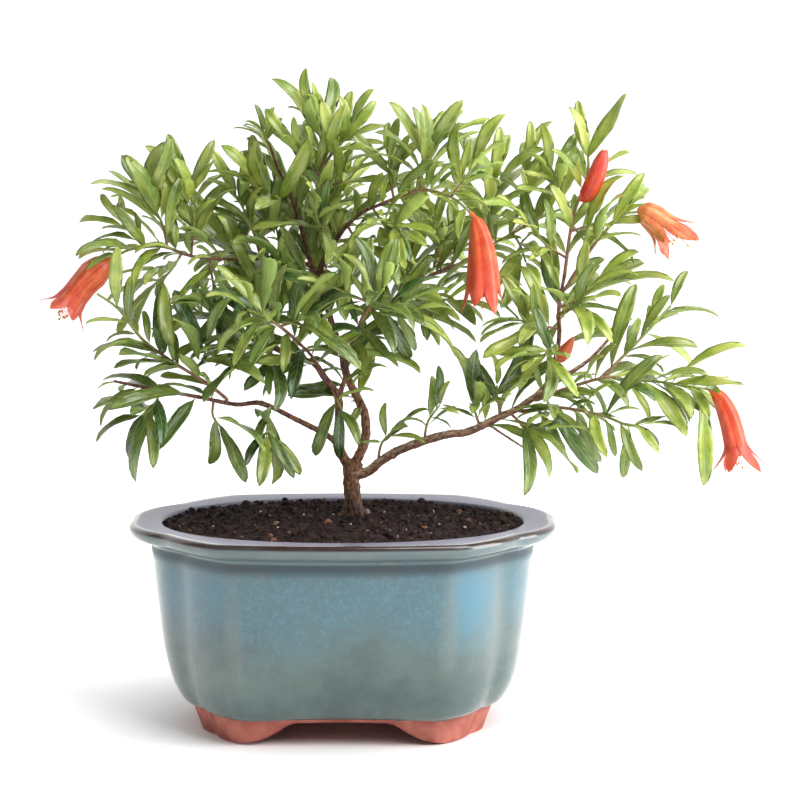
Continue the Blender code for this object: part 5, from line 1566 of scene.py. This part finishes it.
# body is (share of the length, radius over the mouth's half width); valley is where the lobes part; lead is
# how far a flower first follows its stem; tone runs from red to salmon; uneven is how much the lobes differ
blooms = {
    "bloom_left": {
        "parent": "spray_left_top", "at": 4, "tip": (-133, -25, 193), "mouth": 8.8, "lobes": 6, "lead": 0.34,
        "body": [
            (0, 0.16), (0.06, 0.34), (0.18, 0.62), (0.36, 0.78), (0.55, 0.72), (0.7, 0.7),
            (0.84, 0.84), (1, 1.05)],
        "valley": 0.8, "ridge": 0.05, "curl": 0.7, "crinkle": 1.6,
        "stamens": 16, "tone": 0.35, "uneven": 0.12,
    },
    "bloom_centre": {
        "parent": "spray_arching", "at": 3, "tip": (66, -29, 196), "mouth": 8.5, "lobes": 6, "lead": 0.2,
        "body": [(0, 0.12), (0.14, 0.14), (0.22, 0.34), (0.34, 0.5), (0.55, 0.7), (0.78, 0.88), (1, 1.04)],
        "valley": 0.82, "ridge": 0.055, "curl": 0.1, "crinkle": 0.5,
        "stamens": 8, "tone": 0.25, "uneven": 0.08,
    },
    "bloom_right_upper": {
        "parent": "spray_right_bloom", "at": 3, "tip": (163, 4, 223), "mouth": 9.0, "lobes": 6, "lead": 0.22,
        "body": [(0, 0.14), (0.08, 0.32), (0.24, 0.6), (0.45, 0.7), (0.62, 0.76), (0.8, 0.9), (1, 1.02)],
        "valley": 0.62, "ridge": 0.06, "curl": 1.1, "crinkle": 1.2,
        "stamens": 6, "tone": 0.95, "uneven": 0.2,
    },
    "bloom_right_low": {
        "parent": "spray_right_far", "at": 5, "tip": (187, -31, 122), "mouth": 7.6, "lobes": 6, "lead": 0.24,
        "body": [
            (0, 0.1), (0.08, 0.2), (0.26, 0.42), (0.5, 0.6), (0.7, 0.66), (0.82, 0.7), (0.9, 0.86),
            (1, 1.08)],
        "valley": 0.8, "ridge": 0.05, "curl": 0.8, "crinkle": 0.7,
        "stamens": 8, "tone": 0.2, "uneven": 0.1,
    },
    "bud_top": {
        "parent": "spray_right_top", "at": 2.2, "tip": (125, 7, 272), "mouth": 4.9, "lobes": 6, "lead": 0.3,
        "body": [
            (0, 0.2), (0.12, 0.24), (0.2, 0.5), (0.32, 0.76), (0.5, 0.84), (0.7, 0.86), (0.86, 0.74),
            (0.95, 0.5), (1, 0.18)],
        "valley": 0.97, "ridge": 0.03, "curl": 0.0, "crinkle": 0.2,
        "stamens": 0, "tone": 0.0, "uneven": 0.02,
    },
    "bud_hidden": {
        "parent": "right_riser", "at": 1.0, "tip": (109, -20, 185), "mouth": 3.2, "lobes": 5, "lead": 0.38,
        "body": [(0, 0.3), (0.12, 0.6), (0.3, 0.9), (0.5, 1.0), (0.7, 0.84), (0.88, 0.5), (1, 0.1)],
        "valley": 0.95, "ridge": 0.05, "curl": 0.0, "crinkle": 0.15,
        "stamens": 0, "tone": 0.6, "uneven": 0.02,
    },
}


def bloomLine(look):
    # centres and the two directions across them, from the stalk over to the mouth
    parent = routes[look["parent"]]
    tip = Vector(look["tip"])
    point, direction, radius = parent.at(look["at"])
    if look["at"] >= len(parent.marks) - 1:
        root = point + direction * spraySizes["gap"]
        outward = direction
    else:
        away = tip - point
        outward = (away - direction * away.dot(direction)).normalized()
        root = point + outward * (radius + spraySizes["gap"])
    control = root + outward * (look["lead"] * (tip - root).length)

    def at(share):
        centre = root * (1 - share) ** 2 + control * (2 * share * (1 - share)) + tip * share ** 2
        way = ((control - root) * (1 - share) + (tip - control) * share).normalized()
        across = way.cross(Vector((0.0, 1.0, 0.0))).normalized()
        return centre, across, way.cross(across)

    return at


def bloomMesh(name, look, line):
    draw = random.Random(f"{bloomSizes['seed']} {name}")
    lobes = look["lobes"]
    count = lobes * bloomSizes["columns"]
    rows = bloomSizes["rows"]
    mouth = look["mouth"]
    ends = [1 - draw.uniform(0, look["uneven"]) for _ in range(lobes)]
    curls = [look["curl"] * draw.uniform(0.35, 1.5) for _ in range(lobes)]
    isOpen = look["stamens"] > 0

    def surface(column, share, inward):
        place = column / bloomSizes["columns"]
        lobe = int(place + 0.5) % lobes
        off = (place + 0.5) % 1 * 2 - 1
        reach = look["valley"] + (ends[lobe] - look["valley"]) * (1 - abs(off)) ** 0.55
        s = share * reach
        past = max(0.0, (s - look["valley"]) / (1 - look["valley"]))
        radius = valueOnCurve(look["body"], s) * mouth
        radius *= 1 + look["ridge"] * math.cos(math.pi * off) * min(1.0, s * 5) * (1 - past)
        radius += curls[lobe] * mouth * past ** 1.6
        centre, across, away = line(s)
        turn = math.tau * (place + 0.06 * math.sin(5 * s)) / lobes
        radial = across * math.cos(turn) + away * math.sin(turn)
        ripple = noise.noise(radial * mouth * 0.5 + Vector((lobe, s * 7, 0.0)))
        ripple *= look["crinkle"] * (0.2 + past)
        return centre + radial * max(radius + ripple - inward, 0.15), s, off

    along = []
    beside = []
    rings = []
    shares = [row / rows for row in range(rows + 1)]
    skins = [(share, 0.0) for share in shares]
    # an open flower turns back at its mouth and runs down to its cup's floor
    if isOpen:
        low = bloomSizes["cupFloor"]
        skins += [(low + (1 - low) * share, bloomSizes["skin"]) for share in reversed(shares[::2])]
        skins[rows + 1] = (0.995, bloomSizes["skin"] * 0.5)
    for share, inward in skins:
        ring = []
        for column in range(count):
            point, s, off = surface(column, share, inward)
            ring.append(point)
            along.append(s if not inward else 0.6 + s)
            beside.append(abs(off))
        rings.append(ring)
    mesh = loftRings(name, rings)
    mark(mesh, "along", along)
    mark(mesh, "beside", beside)
    shape = bmesh.new()
    shape.from_mesh(mesh)
    bmesh.ops.recalc_face_normals(shape, faces=shape.faces)
    shape.to_mesh(mesh)
    shape.free()
    softShade(mesh, 60)
    return mesh


# red, salmon, and the tints that go over them; inside is painted shade in the cup
petalTints = {
    "red": (colour(202, 44, 18), colour(220, 72, 32)), "salmon": (colour(216, 112, 56), colour(230, 150, 94)),
    "streak": colour(226, 118, 78), "lower": colour(214, 86, 80), "side": colour(196, 34, 28),
    "foot": colour(236, 140, 70), "inside": colour(200, 44, 26),
}


def petalFinish(name, tone):
    look = Finish(name, Specular_IOR_Level=0.45, Coat_Weight=0.25, Coat_Roughness=0.25, Roughness=0.42)
    at = look.spot()
    along = look.named("along")
    beside = look.named("beside")
    patch = look.noise(at, 0.16, 3.0)
    streak = look.noise(at, 0.5, 2.0, 0.6, (1.0, 1.0, 0.3))
    red = look.blend(patch.ramp(0.35, 0.65), *petalTints["red"])
    salmon = look.blend(patch.ramp(0.35, 0.65), *petalTints["salmon"])
    body = look.blend(tone, red, salmon)
    body = look.blend(streak.ramp(0.5, 0.7) * 0.35, body, petalTints["streak"])
    body = look.blend(along.ramp(0.5, 0.95) * (0.5 - tone * 0.3), body, petalTints["lower"])
    body = look.blend(beside.ramp(0.7, 1.0) * 0.5, body, petalTints["side"])
    body = look.blend((1 - along.ramp(0.02, 0.2)) * 0.55, body, petalTints["foot"])
    # painted shade: the cup's inner skin turns deeper red
    body = look.blend(along.ramp(1.0, 1.35) * 0.5, body, petalTints["inside"])
    look.set(Base_Color=body)
    look.bump(streak, 0.3, 0.0004)
    return look.material


def antherShape():
    mesh = bpy.data.meshes.new("anther")
    shape = bmesh.new()
    bmesh.ops.create_icosphere(shape, subdivisions=1, radius=0.5, matrix=Matrix.Translation((0.5, 0.0, 0.0)))
    shape.to_mesh(mesh)
    shape.free()
    mesh.shade_smooth()
    return bpy.data.objects.new("anther", mesh)


def stamensOf(look, line, draw):
    # a thread for each stamen, from the cup's floor to near the mouth, and an anther on its end
    threads = []
    tips = []
    low = bloomSizes["cupFloor"] + 0.08
    steps = bloomSizes["filamentSteps"]
    for i in range(look["stamens"]):
        turn = math.tau * i / look["stamens"] + draw.uniform(-0.2, 0.2)
        end = draw.uniform(0.8, 0.97)
        spread = draw.uniform(0.1, 0.5)
        thread = []
        for step in range(steps + 1):
            centre, across, away = line(low + (end - low) * step / steps)
            reach = look["mouth"] * (0.16 + (spread - 0.16) * step / steps)
            side = across * math.cos(turn) + away * math.sin(turn)
            thread.append((centre + side * reach, bloomSizes["filament"]))
        threads.append(thread)
        way = (thread[-1][0] - thread[-2][0]).normalized()
        foot = thread[-1][0] - way * 0.3
        length, width = bloomSizes["anther"]
        tips.append(Leaf(foot, foot + way * length, way.orthogonal(), width, 0.0))
    return threads, tips


def makeBlooms():
    shapes = bpy.data.collections.new("anthers")
    shapes.objects.link(antherShape())
    filament = Finish("filament", Base_Color=colour(238, 110, 60), Roughness=0.5).material
    anther = Finish("anther", Base_Color=colour(206, 160, 80), Roughness=0.7).material
    growth = sprayGrowth()
    for name, look in blooms.items():
        line = bloomLine(look)
        finish = petalFinish(name, look["tone"])
        addPiece(name.replace("_", ""), bloomMesh(name, look, line), [name], finish)
        if not look["stamens"]:
            continue
        carrier = sprayCarrier(name, *stamensOf(look, line, random.Random(name)))
        growth.apply(carrier, Shapes=shapes, Sides=bloomSizes["filamentSides"], **{
            "Leaf Finish": anther, "Stem Finish": filament})
        addPiece(name.replace("bloom_", "stamens").replace("_", ""), settled(carrier))
    dropCollection(shapes)
    print("blooms made")


makeBlooms()

# Camera, light and floor

viewSizes = {
    "target": (27.4, 0.0, 152.4), "distance": 1400.0, "elevation": 7.38, "lens": 131.7, "sensor": 36.0,
    "worldLight": 0.22, "floorTone": 0.92, "floorGlow": 0.55, "glowReach": (70.0, 190.0),
    "floorReach": 12.0, "wallStart": 1.6, "wallBend": 1.2, "bendSteps": 12,
}
# name, place, point that it faces, power, width, height, in metres and watts
studioLights = [
    ("key", (0.85, -0.7, 1.5), (0.0, 0.0, 0.15), 34.5, 1.4, 1.4),
    ("left", (-1.2, -0.5, 0.5), (0.0, 0.0, 0.12), 0.3, 0.5, 1.0),
    ("right", (1.1, -0.1, 0.4), (0.0, 0.0, 0.1), 10.5, 0.6, 0.8),
]


def makeCamera():
    camera = bpy.data.objects.new("camera", bpy.data.cameras.new("camera"))
    bpy.context.scene.collection.objects.link(camera)
    target = inFrame(viewSizes["target"])
    tilt = math.radians(viewSizes["elevation"])
    away = Vector((0.0, -math.cos(tilt), math.sin(tilt)))
    camera.location = target + away * viewSizes["distance"] * mm
    camera.rotation_euler = (-away).to_track_quat("-Z", "Y").to_euler()
    camera.data.lens = viewSizes["lens"]
    camera.data.sensor_width = viewSizes["sensor"]
    bpy.context.scene.camera = camera


def addLight(name, place, towards, power, width, height):
    light = bpy.data.lights.new(name, "AREA")
    light.shape = "RECTANGLE"
    light.size = width
    light.size_y = height
    light.energy = power
    lamp = bpy.data.objects.new(name, light)
    bpy.context.scene.collection.objects.link(lamp)
    lamp.location = place
    lamp.rotation_euler = (Vector(towards) - Vector(place)).to_track_quat("-Z", "Y").to_euler()


def makeStudio():
    # the floor glows a little away from the pot, which keeps the background white
    tone = viewSizes["floorTone"]
    look = Finish("paleFloor", Base_Color=(tone, tone, tone, 1.0), Roughness=0.9,
                  Emission_Strength=viewSizes["floorGlow"])
    away = look.add("ShaderNodeVectorMath", {"operation": "LENGTH"}, {0: look.spot()}, "Value")
    glow = away.ramp(*viewSizes["glowReach"])
    look.set(Emission_Color=look.blend(glow, (0.0, 0.0, 0.0, 1.0), (1.0, 1.0, 1.0, 1.0)))
    reach = viewSizes["floorReach"]
    start = viewSizes["wallStart"]
    bend = viewSizes["wallBend"]
    rows = [(-reach, 0.0), (start, 0.0)]
    for step in range(1, viewSizes["bendSteps"] + 1):
        turn = math.pi / 2 * step / viewSizes["bendSteps"]
        rows.append((start + math.sin(turn) * bend, (1 - math.cos(turn)) * bend))
    rows.append((start + bend, reach / 2))
    points = [(x, y, z) for y, z in rows for x in (-reach, reach)]
    faces = [(2 * i, 2 * i + 1, 2 * i + 3, 2 * i + 2) for i in range(len(rows) - 1)]
    mesh = bpy.data.meshes.new("floor")
    mesh.from_pydata(points, [], faces)
    mesh.shade_smooth()
    mesh.materials.append(look.material)
    floor = bpy.data.objects.new("floor", mesh)
    bpy.context.scene.collection.objects.link(floor)
    for light in studioLights:
        addLight(*light)
    world = bpy.data.worlds.new("studio")
    world.use_nodes = True
    sky = world.node_tree.nodes["Background"]
    sky.inputs["Color"].default_value = (1.0, 1.0, 1.0, 1.0)
    sky.inputs["Strength"].default_value = viewSizes["worldLight"]
    bpy.context.scene.world = world
    bpy.context.scene.view_settings.view_transform = "Standard"


makeCamera()
makeStudio()
print("camera and studio made")
